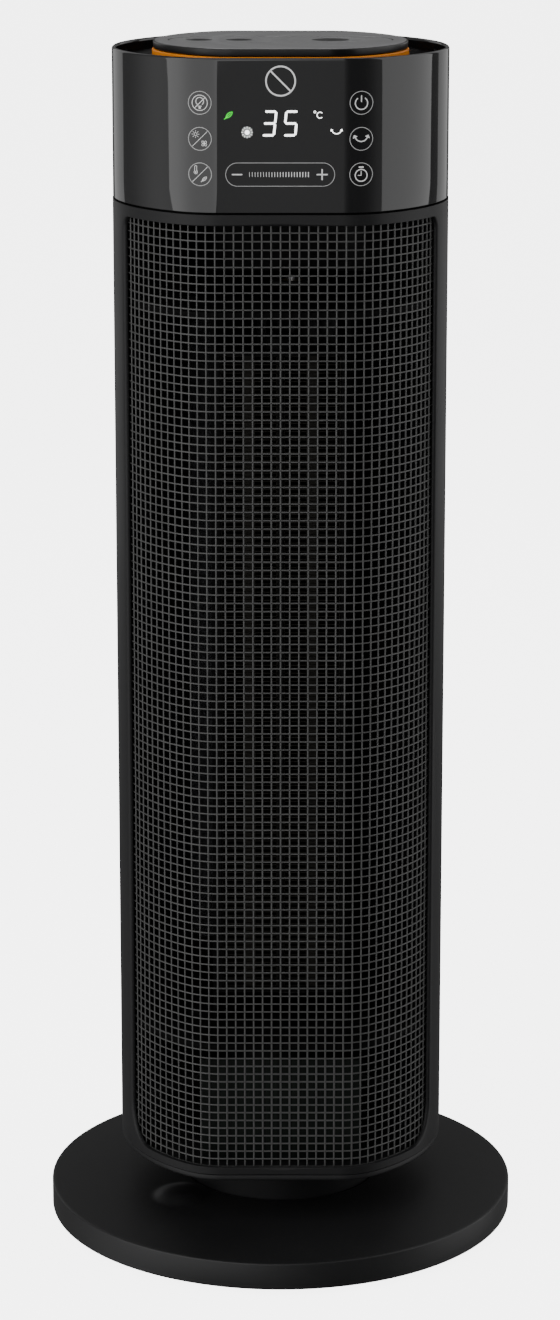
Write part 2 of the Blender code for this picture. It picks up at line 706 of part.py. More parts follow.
def base_cover():
    rounding = BASE_ROUNDING
    radii = [NECK_HOLE + (BASE_RADIUS - rounding - NECK_HOLE) * i / 3 for i in range(4)]
    profile = [(radius, cover_height(radius)) for radius in radii]
    profile += [
        (BASE_RADIUS - 0.3 * rounding, BASE_EDGE_TOP - 0.3 * rounding),
        (BASE_RADIUS, BASE_EDGE_TOP - rounding),
        (BASE_RADIUS, FOOT_HEIGHT),
        (BASE_RADIUS - BASE_WALL, FOOT_HEIGHT),
    ]
    profile += ceiling_stops()
    profile += [(NECK_HOLE + HUB_WIDTH, HUB_BOTTOM), (NECK_HOLE, HUB_BOTTOM)]
    cover = turned("base_cover", profile, "matte_black", FINE_STEPS, ring=True)

    top = cover_height(TIP_DISTANCE)
    seat = cover_height(TIP_DISTANCE + DOME_RADIUS) - BASE_WALL / 3
    dome = [(DOME_RADIUS, seat), (DOME_RADIUS, top)]
    for i in range(1, 3):
        turn = math.pi / 2 * i / 3
        dome.append((DOME_RADIUS * math.cos(turn), top + DOME_RISE * math.sin(turn)))
    combine(cover, turned("dome_join", dome, None, 20, (TIP_X, TIP_Y), cutter=True), "UNION")

    boss_top = cover_height(SCREW_CIRCLE, BASE_WALL / 2)
    bosses = rods("boss_join", screw_places(), SCREW_SHANK + BOSS_WALL, BASE_FLOOR, boss_top)
    combine(cover, bosses, "UNION")
    holes = rods(
        "boss_cut", screw_places(), SCREW_SHANK + REST_GAP, FOOT_HEIGHT, boss_top - BASE_WALL / 2, TINY_STEPS
    )
    combine(cover, holes, "DIFFERENCE")

    gland_hole = circle(GLAND_HOLE + GLAND_WALL + REST_GAP, SMALL_STEPS, (0.0, GLAND_HEIGHT))
    cut = upright_plate(
        "gland_cut", [gland_hole], BASE_RADIUS - 2 * BASE_WALL, BASE_RADIUS + BASE_WALL, None, cutter=True
    )
    return combine(cover, cut, "DIFFERENCE")


def base_plate():
    edge = circle(BASE_RADIUS - BASE_WALL - REST_GAP, FINE_STEPS)
    holes = [
        circle(POST_BORE, SMALL_STEPS),
        circle(PLUNGER_RADIUS + BUTTON_GAP, SMALL_STEPS, (TIP_X, TIP_Y)),
    ]
    holes += [circle(SCREW_SHANK + REST_GAP, TINY_STEPS, centre) for centre in screw_places()]
    base = plate("base_plate", [edge] + holes, BASE_PLATE_BOTTOM, BASE_PLATE_TOP, "matte_black")
    reach = GLAND_HOLE + GLAND_WALL + GLAND_FLANGE + REST_GAP
    inner = BASE_RADIUS - GLAND_LENGTH - REST_GAP * 2
    notch = ((-reach, inner, 0.0), (reach, BASE_RADIUS, BASE_PLATE_TOP * 2))
    return combine(base, blocks("gland_notch", [notch], None, cutter=True), "DIFFERENCE")


def ballast():
    weight = tube(
        "ballast_weight", BALLAST_OUTER, BALLAST_INNER, BASE_FLOOR, BASE_FLOOR + BALLAST_HEIGHT, "steel",
        FINE_STEPS,
    )
    room = PLUNGER_COLLAR + BUTTON_GAP + SWITCH_CAN_WALL + BALLAST_ROOM
    low, high = BASE_FLOOR - BALLAST_HEIGHT, BASE_FLOOR + 2 * BALLAST_HEIGHT
    outward = Vector((TIP_X, TIP_Y)).normalized()
    slot = [Vector((TIP_X, TIP_Y)) - outward * room * i for i in (0, 2)]
    return combine(weight, rods("ballast_cut", [tuple(p) for p in slot], room, low, high), "DIFFERENCE")


def feet():
    for i in range(FOOT_COUNT):
        turn = math.pi / 2 + 2 * math.pi * i / FOOT_COUNT
        centre = (FOOT_CIRCLE * math.cos(turn), FOOT_CIRCLE * math.sin(turn))
        profile = [(FOOT_RADIUS - FOOT_EDGE, 0.0), (FOOT_RADIUS, FOOT_EDGE), (FOOT_RADIUS, FOOT_HEIGHT)]
        turned(f"foot_{i + 1}", profile, "rubber", SMALL_STEPS, centre)


def base_screws():
    for i, centre in enumerate(screw_places()):
        head_top = BASE_PLATE_BOTTOM - REST_GAP
        tip = cover_height(SCREW_CIRCLE, 2 * BASE_WALL)
        profile = [
            (SCREW_HEAD - SCREW_HEAD_EDGE, head_top - SCREW_HEAD_HEIGHT),
            (SCREW_HEAD, head_top - SCREW_HEAD_HEIGHT / 2),
            (SCREW_HEAD, head_top),
            (SCREW_SHANK, head_top),
            (SCREW_SHANK, tip),
        ]
        turned(f"base_screw_{i + 1}", profile, "steel", TINY_STEPS, centre)


def cord_gland():
    """A flanged bush along Y. The cord passes through it."""
    outer = GLAND_HOLE + GLAND_WALL
    back = BASE_RADIUS - GLAND_SINK
    front = BASE_RADIUS - GLAND_LENGTH
    flange = BASE_RADIUS - BASE_WALL - REST_GAP * 2
    profile = [
        (GLAND_HOLE, front), (outer + GLAND_FLANGE, front), (outer + GLAND_FLANGE, flange),
        (outer, flange), (outer, back), (GLAND_HOLE, back),
    ]
    loops = []
    for radius, y in profile:
        ring = circle(radius, SMALL_STEPS)
        loops.append([(x, y, GLAND_HEIGHT + z) for x, z in ring])
    gland = stack("cord_gland", loops, "rubber", ring=True)
    side, near, far = 2 * outer, front - CUT_PAST, flange + REST_GAP / 3
    trim = [
        ((-side, near, 0.0), (side, far, BASE_FLOOR)),
        ((-side, near, cover_height(flange, BASE_WALL) - REST_GAP), (side, far, 2 * CROWN_TOP)),
    ]
    return combine(gland, blocks("gland_trim", trim, None, cutter=True), "DIFFERENCE")


def tip_over_switch():
    centre = (TIP_X, TIP_Y)
    bore = PLUNGER_COLLAR + BUTTON_GAP
    outer = bore + SWITCH_CAN_WALL
    roof = ceiling_height(TIP_DISTANCE + outer) - REST_GAP
    ceiling = roof - SWITCH_CAN_WALL
    can = [
        (outer, BASE_FLOOR), (outer, roof), (PIN_HOLE, roof), (PIN_HOLE, ceiling), (bore, ceiling),
        (bore, BASE_FLOOR),
    ]
    turned("tip_switch_can", can, "natural_plastic", SMALL_STEPS, centre, ring=True)

    collar = BASE_FLOOR + PLUNGER_TRAVEL + PLUNGER_SLACK
    collar_top = collar + COLLAR_HEIGHT
    axis = pivot("tip_switch", (TIP_X, TIP_Y, collar))
    plunger = [
        (PLUNGER_RADIUS - PLUNGER_EDGE, 0.0), (PLUNGER_RADIUS, PLUNGER_EDGE), (PLUNGER_RADIUS, collar),
        (PLUNGER_COLLAR, collar), (PLUNGER_COLLAR, collar_top), (PLUNGER_PIN, collar_top),
        (PLUNGER_PIN, ceiling - PIN_CLEARANCE),
    ]
    turned("tip_switch_plunger", plunger, "natural_plastic", SMALL_STEPS, centre, parent=axis)

    low = collar_top + REST_GAP + SPRING_WIRE / 2
    high = ceiling - REST_GAP - SPRING_WIRE / 2
    steps = SPRING_TURNS * 8
    curve = bpy.data.curves.new("tip_switch_spring", "CURVE")
    curve.dimensions = "3D"
    curve.bevel_depth = SPRING_WIRE / 2
    curve.bevel_resolution = 1
    curve.use_fill_caps = True
    spline = curve.splines.new("POLY")
    spline.points.add(steps)
    for i, point in enumerate(spline.points):
        turn = 2 * math.pi * SPRING_TURNS * i / steps
        height = low + (high - low) * i / steps
        x, y = TIP_X + SPRING_RADIUS * math.cos(turn), TIP_Y + SPRING_RADIUS * math.sin(turn)
        point.co = (x, y, height, 1.0)
    spring = bpy.data.objects.new("tip_switch_spring", curve)
    curve.materials.append(finish_material("tip_switch_spring", "steel"))
    bpy.context.scene.collection.objects.link(spring)


def swivel():
    """The fixed post with its gear, and the rings that the neck turns between."""
    post_top = NECK_FLOOR_TOP + POST_RISE
    profile = [
        (POST_BORE, BASE_FLOOR), (POST_FLANGE, BASE_FLOOR), (POST_FLANGE, BASE_FLOOR + POST_FLANGE_HEIGHT),
        (POST_SHOULDER, BASE_FLOOR + POST_FLANGE_HEIGHT), (POST_SHOULDER, SHOULDER_TOP),
        (POST_RADIUS, SHOULDER_TOP), (POST_RADIUS, post_top), (POST_BORE, post_top),
    ]
    turned("pivot_post", profile, "natural_plastic", PLAIN_STEPS, ring=True)
    bore = circle(POST_SHOULDER + REST_GAP, PLAIN_STEPS)
    plate("fixed_gear", [gear_outline(FIXED_TEETH), bore], GEAR_BOTTOM, GEAR_TOP, "natural_plastic")
    tube(
        "thrust_washer", POST_SHOULDER, POST_RADIUS + SHAFT_GAP, WASHER_BOTTOM,
        WASHER_BOTTOM + WASHER_HEIGHT, "brass",
    )
    outer = NECK_RADIUS + RETAINER_LIP
    bottom = GLIDE_TOP - GLIDE_HEIGHT
    tube("glide_ring", outer, NECK_HOLE, bottom, GLIDE_TOP, "natural_plastic", FINE_STEPS)


# Neck and oscillation drive


def tower_floor():
    outer, inner = NECK_RADIUS, NECK_INNER
    join = (BODY_BOTTOM + FLOOR_TOP) / 2
    cup = [
        (outer, NECK_BOTTOM), (outer, join), (inner, join), (inner, NECK_FLOOR_TOP),
        (POST_RADIUS + SHAFT_GAP, NECK_FLOOR_TOP), (POST_RADIUS + SHAFT_GAP, NECK_FLOOR_BOTTOM),
        (inner, NECK_FLOOR_BOTTOM), (inner, NECK_BOTTOM),
    ]
    neck = turned("neck_join", cup, None, FINE_STEPS, ring=True, cutter=True)
    overlap = NECK_WALL / 2
    floor = plate(
        "tower_floor", [section_outline(BODY_SECTION, HEAD_STEP), circle(inner + overlap, FINE_STEPS)],
        BODY_BOTTOM, FLOOR_TOP, "matte_black",
    )
    combine(floor, neck, "UNION")
    low, high = NECK_FLOOR_BOTTOM - CUT_PAST, NECK_FLOOR_TOP + CUT_PAST
    hole = rods("pinion_shaft_cut", [(GEAR_DISTANCE, 0.0)], PINION_SHAFT + 2 * SHAFT_GAP, low, high)
    return combine(floor, hole, "DIFFERENCE")


def oscillation_drive():
    tube(
        "neck_retainer", NECK_RADIUS + RETAINER_LIP, NECK_RADIUS - RETAINER_WIDTH,
        RETAINER_TOP - RETAINER_HEIGHT, RETAINER_TOP, "natural_plastic", FINE_STEPS,
    )
    centre = (GEAR_DISTANCE, 0.0)
    bottom = NECK_FLOOR_TOP + REST_GAP
    top = bottom + SWING_MOTOR_HEIGHT
    socket = PINION_SHAFT + SHAFT_GAP
    shaft_top = GEAR_TOP + PINION_SHAFT_LENGTH
    profile = [
        (socket, bottom), (SWING_MOTOR_RADIUS, bottom), (SWING_MOTOR_RADIUS, top - SWING_MOTOR_EDGE),
        (SWING_MOTOR_RADIUS - SWING_MOTOR_EDGE, top), (socket, top),
    ]
    turned("swing_motor", profile, "steel", 24, centre, ring=True)
    axis = pivot("swing_pinion", (*centre, GEAR_BOTTOM))
    phase = math.pi / PINION_TEETH if PINION_TEETH % 2 == 0 else 0.0
    outline = gear_outline(PINION_TEETH, phase, centre)
    pinion = plate("swing_pinion", [outline], GEAR_BOTTOM, GEAR_TOP, "natural_plastic", axis)
    shaft = rods("pinion_shaft_join", [centre], PINION_SHAFT, GEAR_TOP - GEAR_HEIGHT / 2, shaft_top)
    shaft.parent = axis
    shaft.matrix_parent_inverse = Matrix.Translation(-axis.location)
    combine(pinion, shaft, "UNION")


# Housings


def front_housing():
    outline = shell_outline(BODY_SECTION, 0.0, BODY_WALL, -SPLIT_AZIMUTH, SPLIT_AZIMUTH)
    housing = plate("front_housing", [outline], HOUSING_BOTTOM, HOUSING_TOP, "matte_black")
    half = BODY_RADIUS * math.sin(WINDOW_AZIMUTH)
    low = (WINDOW_BOTTOM_CORNER * CORNER_SQUASH, WINDOW_BOTTOM_CORNER)
    high = (WINDOW_TOP_CORNER * CORNER_SQUASH, WINDOW_TOP_CORNER)
    opening = window(half, WINDOW_BOTTOM, WINDOW_TOP, (low, low, high, high))
    cut = upright_plate("window_cut", [opening], -2 * BODY_RADIUS, -BODY_RADIUS / 10, None, cutter=True)
    return combine(housing, cut, "DIFFERENCE")


def rear_housing():
    half = math.pi - SPLIT_AZIMUTH - REST_GAP / BODY_RADIUS
    outline = shell_outline(BODY_SECTION, 0.0, BODY_WALL, -half, half, turned_by=math.pi)
    housing = plate("rear_housing", [outline], HOUSING_BOTTOM, HOUSING_TOP, "matte_black")
    corner = (REAR_CORNER * 0.8, REAR_CORNER)
    opening = window(REAR_HALF_WIDTH, REAR_BOTTOM, REAR_TOP, (corner,) * 4)
    cut = upright_plate("rear_window_cut", [opening], BODY_RADIUS / 10, 2 * BODY_RADIUS, None, cutter=True)
    combine(housing, cut, "DIFFERENCE")
    middle = BODY_BOTTOM + SWITCH_CENTRE
    half_x, half_z = SWITCH_WIDTH / 2 + REST_GAP, SWITCH_HEIGHT / 2 + REST_GAP
    hole = ((-half_x, BODY_RADIUS / 10, middle - half_z), (half_x, 2 * BODY_RADIUS, middle + half_z))
    return combine(housing, blocks("switch_cut", [hole], None, cutter=True), "DIFFERENCE")


def front_grille():
    lap = GRILLE_LAP / BODY_RADIUS
    half = WINDOW_AZIMUTH + lap
    rim = GRILLE_RIM / BODY_RADIUS
    bar = GRILLE_BAR / BODY_RADIUS
    azimuths = spaced_spans(-half, half, rim, bar, GRILLE_COLUMNS)
    heights = spaced_spans(
        WINDOW_BOTTOM - GRILLE_LAP, WINDOW_TOP + GRILLE_LAP, GRILLE_RIM, GRILLE_BAR, GRILLE_ROWS
    )
    return lattice("front_grille", GRILLE_INSET, GRILLE_THICKNESS, azimuths, heights, "mesh_grey")


def rear_cover():
    """The lift-off cover over the air intake, with the filter screen behind it."""
    axis = pivot("rear_cover", (0.0, BODY_FLAT, (REAR_BOTTOM + REAR_TOP) / 2))
    width = REAR_HALF_WIDTH - REAR_FIT
    half = math.asin(width / BODY_RADIUS)
    rim, bar = REAR_RIM / BODY_RADIUS, REAR_BAR / BODY_RADIUS
    azimuths = spaced_spans(math.pi - half, math.pi + half, rim, bar, REAR_COLUMNS)
    heights = spaced_spans(REAR_BOTTOM + REAR_FIT, REAR_TOP - REAR_FIT, REAR_RIM, REAR_BAR, REAR_ROWS)
    cover = lattice("rear_cover", HEAD_STEP, BODY_WALL, azimuths, heights, "matte_black", axis)
    half_height = (REAR_TOP - REAR_BOTTOM) / 2 - REAR_FIT
    corner = (REAR_CORNER * 0.8, REAR_CORNER)
    rounded = window(width, -half_height, half_height, (corner,) * 4)
    keep = upright_plate("rear_cover_keep", [rounded], -BODY_RADIUS, BODY_RADIUS, None, cutter=True)
    keep.parent = axis
    combine(cover, keep, "INTERSECT")

    inset = HEAD_STEP + BODY_WALL + FILTER_GAP
    stops = azimuths[1:-1]
    outline = section_outline(BODY_SECTION, inset, stops)
    outline += section_outline(BODY_SECTION, inset + FILTER_THICKNESS, stops)[::-1]
    low, high = REAR_BOTTOM + REAR_RIM / 2, REAR_TOP - REAR_RIM / 2
    plate("filter_screen", [outline], low, high, "filter_grey", axis)


# Blower and heater


def bulkhead_outline():
    """Clear of the grille in front, and out to the housing's wall behind the split."""
    stops = section_azimuths(BODY_SECTION, -SPLIT_AZIMUTH, SPLIT_AZIMUTH)
    front = section_outline(BODY_SECTION, INNER_INSET, stops)
    half = math.pi - SPLIT_AZIMUTH - BULKHEAD_FIT / BODY_RADIUS
    stops = [turn + math.pi for turn in section_azimuths(BODY_SECTION, -half, half)]
    return front + section_outline(BODY_SECTION, BODY_WALL + REST_GAP, stops)


def bulkheads():
    """The two decks that carry the blower, duct and heater, and the deck that closes the housing."""
    inside = bulkhead_outline()
    boss_hole = circle(MOTOR_BOSS - MOTOR_BOSS_LAP, SMALL_STEPS, (FAN_X, FAN_Y))
    wire_radius, beside, behind = WIRE_PASS
    wire_hole = circle(wire_radius, SMALL_STEPS, (-MOTOR_RADIUS - beside, HEATER_BACK + behind))
    plate(
        "lower_bulkhead", [inside, boss_hole, wire_hole], LOWER_BULKHEAD_BOTTOM, LOWER_BULKHEAD_TOP,
        "natural_plastic",
    )
    mount_hole = circle(BUSH_RADIUS + BUSH_MOUNT_WALL + 2 * REST_GAP, 24, (FAN_X, FAN_Y))
    plate(
        "upper_bulkhead", [inside, mount_hole, wire_hole], UPPER_BULKHEAD_BOTTOM, UPPER_BULKHEAD_TOP,
        "natural_plastic",
    )
    edge, collar = BODY_WALL + REST_GAP, HEAD_STEP + HEAD_WALL + REST_GAP
    collar_top = HEAD_BOTTOM + COLLAR_RISE
    profile = [
        (edge, WINDOW_TOP + GRILLE_LAP + REST_GAP), (edge, HOUSING_TOP), (collar, HOUSING_TOP),
        (collar, collar_top), (collar + COLLAR_WALL, collar_top), (collar + COLLAR_WALL, HOUSING_TOP),
    ]
    deck = sleeve("top_deck", BODY_SECTION, profile, "natural_plastic", ring=False)
    wires = rods("deck_wire_cut", [(0.0, 0.0)], WIRE_HOLE, WINDOW_TOP, HEAD_TOP)
    combine(deck, wires, "DIFFERENCE")


def fan_motor():
    centre = (FAN_X, FAN_Y)
    bottom, edge = MOTOR_TOP - MOTOR_HEIGHT, MOTOR_EDGE
    socket = FAN_SHAFT + SHAFT_GAP
    boss_top = LOWER_BULKHEAD_BOTTOM - REST_GAP
    profile = [
        (socket, boss_top - MOTOR_SOCKET), (socket, boss_top), (MOTOR_BOSS, boss_top),
        (MOTOR_BOSS, MOTOR_TOP), (MOTOR_RADIUS - edge, MOTOR_TOP), (MOTOR_RADIUS, MOTOR_TOP - edge),
        (MOTOR_RADIUS, bottom + edge), (MOTOR_RADIUS - edge, bottom),
    ]
    turned("fan_motor", profile, "steel", PLAIN_STEPS, centre)


def fan():
    """The cross-flow wheel: blades between rings, with a solid disc at each end, on one long shaft."""
    centre = (FAN_X, FAN_Y)
    axis = pivot("fan", (FAN_X, FAN_Y, LOWER_BULKHEAD_TOP))
    low, high = LOWER_BULKHEAD_TOP + FAN_END_GAP, UPPER_BULKHEAD_BOTTOM - FAN_END_GAP
    disc_bore, ring_bore = FAN_SHAFT + SHAFT_GAP, FAN_RADIUS - FAN_BLADE_DEPTH - FAN_BLADE_LAP
    bm = bmesh.new()
    for i in range(FAN_RINGS):
        inner = disc_bore if i in (0, FAN_RINGS - 1) else ring_bore
        bottom = low + (high - low - FAN_RING_HEIGHT) * i / (FAN_RINGS - 1)
        profile = [
            (FAN_RADIUS, bottom), (FAN_RADIUS, bottom + FAN_RING_HEIGHT),
            (inner, bottom + FAN_RING_HEIGHT), (inner, bottom),
        ]
        add_stack(bm, [at_height(circle(r, 20, centre), z) for r, z in profile], ring=True)
    wheel = place("fan_wheel", bm, "matte_black", axis)

    bm = bmesh.new()
    end = FAN_RING_HEIGHT / 2
    outer, inner = FAN_RADIUS - FAN_BLADE_INSET, FAN_RADIUS - FAN_BLADE_DEPTH
    for i in range(FAN_BLADES):
        turn = 2 * math.pi * (i + 0.5) / FAN_BLADES
        outline = []
        for radius, lean, side in ((outer, 1, -1), (outer, 1, 1), (inner, 0, 1), (inner, 0, -1)):
            at = turn + FAN_BLADE_LEAN * lean + side * FAN_BLADE_THICKNESS / 2 / radius
            outline.append((FAN_X + radius * math.cos(at), FAN_Y + radius * math.sin(at)))
        add_stack(bm, [at_height(outline, low + end), at_height(outline, high - end)])
    blades = place("blades_join", bm, None, axis, cutter=True)
    combine(wheel, blades, "UNION")

    shaft_bottom = LOWER_BULKHEAD_BOTTOM - MOTOR_SOCKET + SHAFT_END_GAP
    shaft_top = UPPER_BULKHEAD_BOTTOM + BUSH_HEIGHT
    edge = FAN_SHAFT_EDGE
    shaft = [(FAN_SHAFT, shaft_bottom), (FAN_SHAFT, shaft_top), (FAN_SHAFT - edge, shaft_top + edge)]
    turned("fan_shaft", shaft, "steel", SMALL_STEPS, centre, parent=axis)


def shaft_bearing():
    centre = (FAN_X, FAN_Y)
    low = UPPER_BULKHEAD_BOTTOM - (BUSH_HEIGHT - BULKHEAD) / 2
    tube("shaft_bush", BUSH_RADIUS, FAN_SHAFT + SHAFT_GAP, low, low + BUSH_HEIGHT, "brass", 24, centre)
    outer, inner = BUSH_RADIUS + BUSH_MOUNT_WALL + REST_GAP, BUSH_RADIUS + REST_GAP
    flange = outer + BUSH_MOUNT_WALL
    profile = [
        (inner, UPPER_BULKHEAD_BOTTOM), (outer, UPPER_BULKHEAD_BOTTOM),
        (outer, UPPER_BULKHEAD_TOP + REST_GAP), (flange, UPPER_BULKHEAD_TOP + REST_GAP),
        (flange, UPPER_BULKHEAD_TOP + BUSH_MOUNT_WALL), (inner, UPPER_BULKHEAD_TOP + BUSH_MOUNT_WALL),
    ]
    turned("bush_mount", profile, "rubber", 24, centre, ring=True)


def duct():
    """The scroll wall behind the wheel, which opens towards the heater, and the tongue opposite it."""
    low, high = LOWER_BULKHEAD_TOP + REST_GAP, UPPER_BULKHEAD_BOTTOM - REST_GAP
    reach = FAN_RADIUS + DUCT_CLEARANCE + DUCT_WALL / 2
    start, end, steps = DUCT_START, DUCT_END, 10
    points = []
    for i in range(steps + 1):
        turn = start + (end - start) * i / steps
        radius = reach + DUCT_GROWTH * i / steps
        points.append((FAN_X + radius * math.cos(turn), FAN_Y + radius * math.sin(turn)))
    side = HEATER_HALF_WIDTH + DUCT_WALL / 2 + REST_GAP
    behind_heater, beside_heater = HEATER_BACK + DUCT_LAP, HEATER_BACK - DUCT_LAP
    points += [(side, behind_heater), (side, beside_heater)]
    plate("duct_scroll", [strip(points, DUCT_WALL)], low, high, "natural_plastic")
    far = reach + TONGUE_CLEARANCE
    lip = (FAN_X + far * math.cos(TONGUE_TURN), FAN_Y + far * math.sin(TONGUE_TURN))
    knee = ((lip[0] - side) / 2 - DUCT_LAP / 2, (lip[1] + behind_heater) / 2)
    tongue = [(-side, beside_heater), (-side, behind_heater), knee, lip]
    plate("duct_tongue", [strip(tongue, DUCT_WALL)], low, high, "natural_plastic")


def heater():
    """Two finned ceramic elements side by side in one frame, with a thermal cut-out on its end."""
    wall = HEATER_WALL
    frame = rectangle((-HEATER_HALF_WIDTH, HEATER_BOTTOM), (HEATER_HALF_WIDTH, HEATER_TOP))
    low, high = HEATER_BOTTOM + wall, HEATER_TOP - wall
    bays = [
        ((-HEATER_HALF_WIDTH + wall, low), (-wall / 2, high)),
        ((wall / 2, low), (HEATER_HALF_WIDTH - wall, high)),
    ]
    outlines = [frame] + [rectangle(*bay) for bay in bays]
    upright_plate("heater_frame", outlines, HEATER_FRONT, HEATER_BACK, "natural_plastic")
    for name, (start, end) in zip(("ptc_element_left", "ptc_element_right"), bays):
        middle = (start[0] + end[0]) / 2
        half = (end[0] - start[0]) / 2 - REST_GAP
        bottom, top = start[1] + REST_GAP, end[1] - REST_GAP
        count = max(1, round((top - bottom) / FIN_PITCH))
        pitch = (top - bottom) / count
        side = []
        for i in range(count):
            fin_low = bottom + pitch * i
            fin_high = fin_low + pitch * FIN_HEIGHT / FIN_PITCH if i < count - 1 else top
            side += [(half, fin_low), (half, fin_high)]
            if i < count - 1:
                side += [(CORE_HALF_WIDTH, fin_high), (CORE_HALF_WIDTH, fin_low + pitch)]
        outline = [(middle + x, z) for x, z in side] + [(middle - x, z) for x, z in reversed(side)]
        front, back = HEATER_FRONT + PTC_SETBACK, HEATER_BACK - PTC_SETBACK
        upright_plate(name, [outline], front, back, "aluminium")
    centre = (0.0, (HEATER_FRONT + HEATER_BACK) / 2)
    base = HEATER_TOP + REST_GAP
    profile = [
        (CUTOUT_RADIUS * 0.99, base), (CUTOUT_RADIUS, base + CUTOUT_HEIGHT * 0.7),
        (CUTOUT_RADIUS * 0.8, base + CUTOUT_HEIGHT),
    ]
    turned("thermal_cutout", profile, "steel", SMALL_STEPS, centre)


# Boards and switch


def power_board():
    front = -(BODY_FLAT - POWER_BOARD_SETBACK)
    back = front + BOARD
    half = min(POWER_BOARD_HALF, chord_half(front, INNER_INSET) - POWER_BOARD_MARGIN)
    low = FLOOR_TOP + REST_GAP
    high = low + POWER_BOARD_HEIGHT
    board = blocks("power_board", [((-half, front, low), (half, back, high))], "board_green")
    inside = back - BOARD / 2
    parts = [
        ((half * left, inside, low + bottom), (half * right, back + depth, low + top))
        for left, right, bottom, top, depth in POWER_PARTS
    ]
    combine(board, blocks("power_parts_join", parts, None, cutter=True), "UNION")


def main_switch():
    """The switch body with its sprung contacts, and the rocker that tips in it."""
    middle = BODY_BOTTOM + SWITCH_CENTRE
    face = BODY_FLAT
    half_x, half_z = SWITCH_WIDTH / 2, SWITCH_HEIGHT / 2
    shell = blocks(
        "switch_body", [((-half_x, face - SWITCH_DEPTH, middle - half_z), (half_x, face, middle + half_z))],
        "matte_black",
    )
    rim = SWITCH_RIM
    well = face - SWITCH_DEPTH * 0.6
    room = ((-half_x + rim, well, middle - half_z + rim), (half_x - rim, face + 0.01, middle + half_z - rim))
    combine(shell, blocks("switch_well_cut", [room], None, cutter=True), "DIFFERENCE")

    axis = pivot("rocker", (0.0, face - ROCKER_SINK, middle))
    axis.rotation_euler.x = -ROCKER_THROW / 2
    half_x, half_z = half_x - rim - ROCKER_GAP, half_z - rim - 2 * ROCKER_GAP
    tilt = math.tan(ROCKER_THROW / 2)
    ridge, belly = ROCKER_RIDGE, -ROCKER_BELLY
    outline = [
        (-half_z, ridge + half_z * tilt), (-half_z, ROCKER_GAP), (-half_z * 0.45, belly),
        (half_z * 0.45, belly), (half_z, ROCKER_GAP), (half_z, ridge + half_z * tilt), (0.0, ridge),
    ]
    bm = bmesh.new()
    add_stack(bm, [[(x, y, z) for z, y in outline] for x in (-half_x, half_x)])
    rocker = place("rocker_switch", bm, "gloss_black")
    rocker.parent = axis


def control_board():
    front = -(BODY_FLAT - CONTROL_BOARD_SETBACK)
    half = chord_half(front, HEAD_STEP + HEAD_WALL) - CONTROL_BOARD_SIDE
    low, high = HEAD_BOTTOM + CONTROL_BOARD_MARGIN, TRAY_TOP - TRAY - CONTROL_BOARD_TOP
    blocks("control_board", [((-half, front, low), (half, front + BOARD, high))], "board_green")
    middle = (low + high) / 2
    display_front = -(BODY_FLAT - HEAD_STEP - HEAD_WALL - REST_GAP)
    corners = (
        (-DISPLAY_WIDTH / 2, display_front, middle - DISPLAY_HEIGHT / 2),
        (DISPLAY_WIDTH / 2, front - REST_GAP, middle + DISPLAY_HEIGHT / 2),
    )
    blocks("display_module", [corners], "screen")


# Head


def head():
    step, wall, crest = HEAD_STEP, HEAD_WALL, RIM_CREST
    shell = [
        (step, HEAD_BOTTOM), (step, HEAD_TOP - crest), (step + 0.14 * wall, HEAD_TOP - 0.35 * crest),
        (step + 0.5 * wall, HEAD_TOP), (step + 0.86 * wall, HEAD_TOP - 0.35 * crest),
        (step + wall, HEAD_TOP - crest), (step + wall, HEAD_BOTTOM),
    ]
    sleeve("head_shell", BODY_SECTION, shell, "gloss_black")
    tray = section_outline(BODY_SECTION, step + wall + REST_GAP)
    plate("top_tray", [tray], TRAY_TOP - TRAY, TRAY_TOP, "matte_black")
    low, high = TRAY_TOP + REST_GAP, PLATE_BOTTOM - REST_GAP
    ring = [(-ACCENT_REACH, low), (-ACCENT_REACH, high), (ACCENT_WALL, high), (ACCENT_WALL, low)]
    sleeve("accent_ring", PLATE_SECTION, ring, "orange")


def top_plate():
    edge = PLATE_EDGE
    profile = [(edge, PLATE_BOTTOM), (0.0, PLATE_BOTTOM + edge), (0.0, PLATE_TOP - edge), (edge, PLATE_TOP)]
    cover = sleeve("top_plate", PLATE_SECTION, profile, "dark_grey", ring=False)
    fit = -REMOTE_FIT
    tub = pill(REMOTE_LENGTH, REMOTE_WIDTH, fit - POCKET_WALL)
    tub_bottom = POCKET_FLOOR - POCKET_WALL
    walls = plate("pocket_join", [tub], tub_bottom, (PLATE_BOTTOM + PLATE_TOP) / 2, None, cutter=True)
    combine(cover, walls, "UNION")
    pocket = pill(REMOTE_LENGTH, REMOTE_WIDTH, fit)
    hollow = plate("pocket_cut", [pocket], POCKET_FLOOR, PLATE_TOP + 0.01, None, cutter=True)
    combine(cover, hollow, "DIFFERENCE")


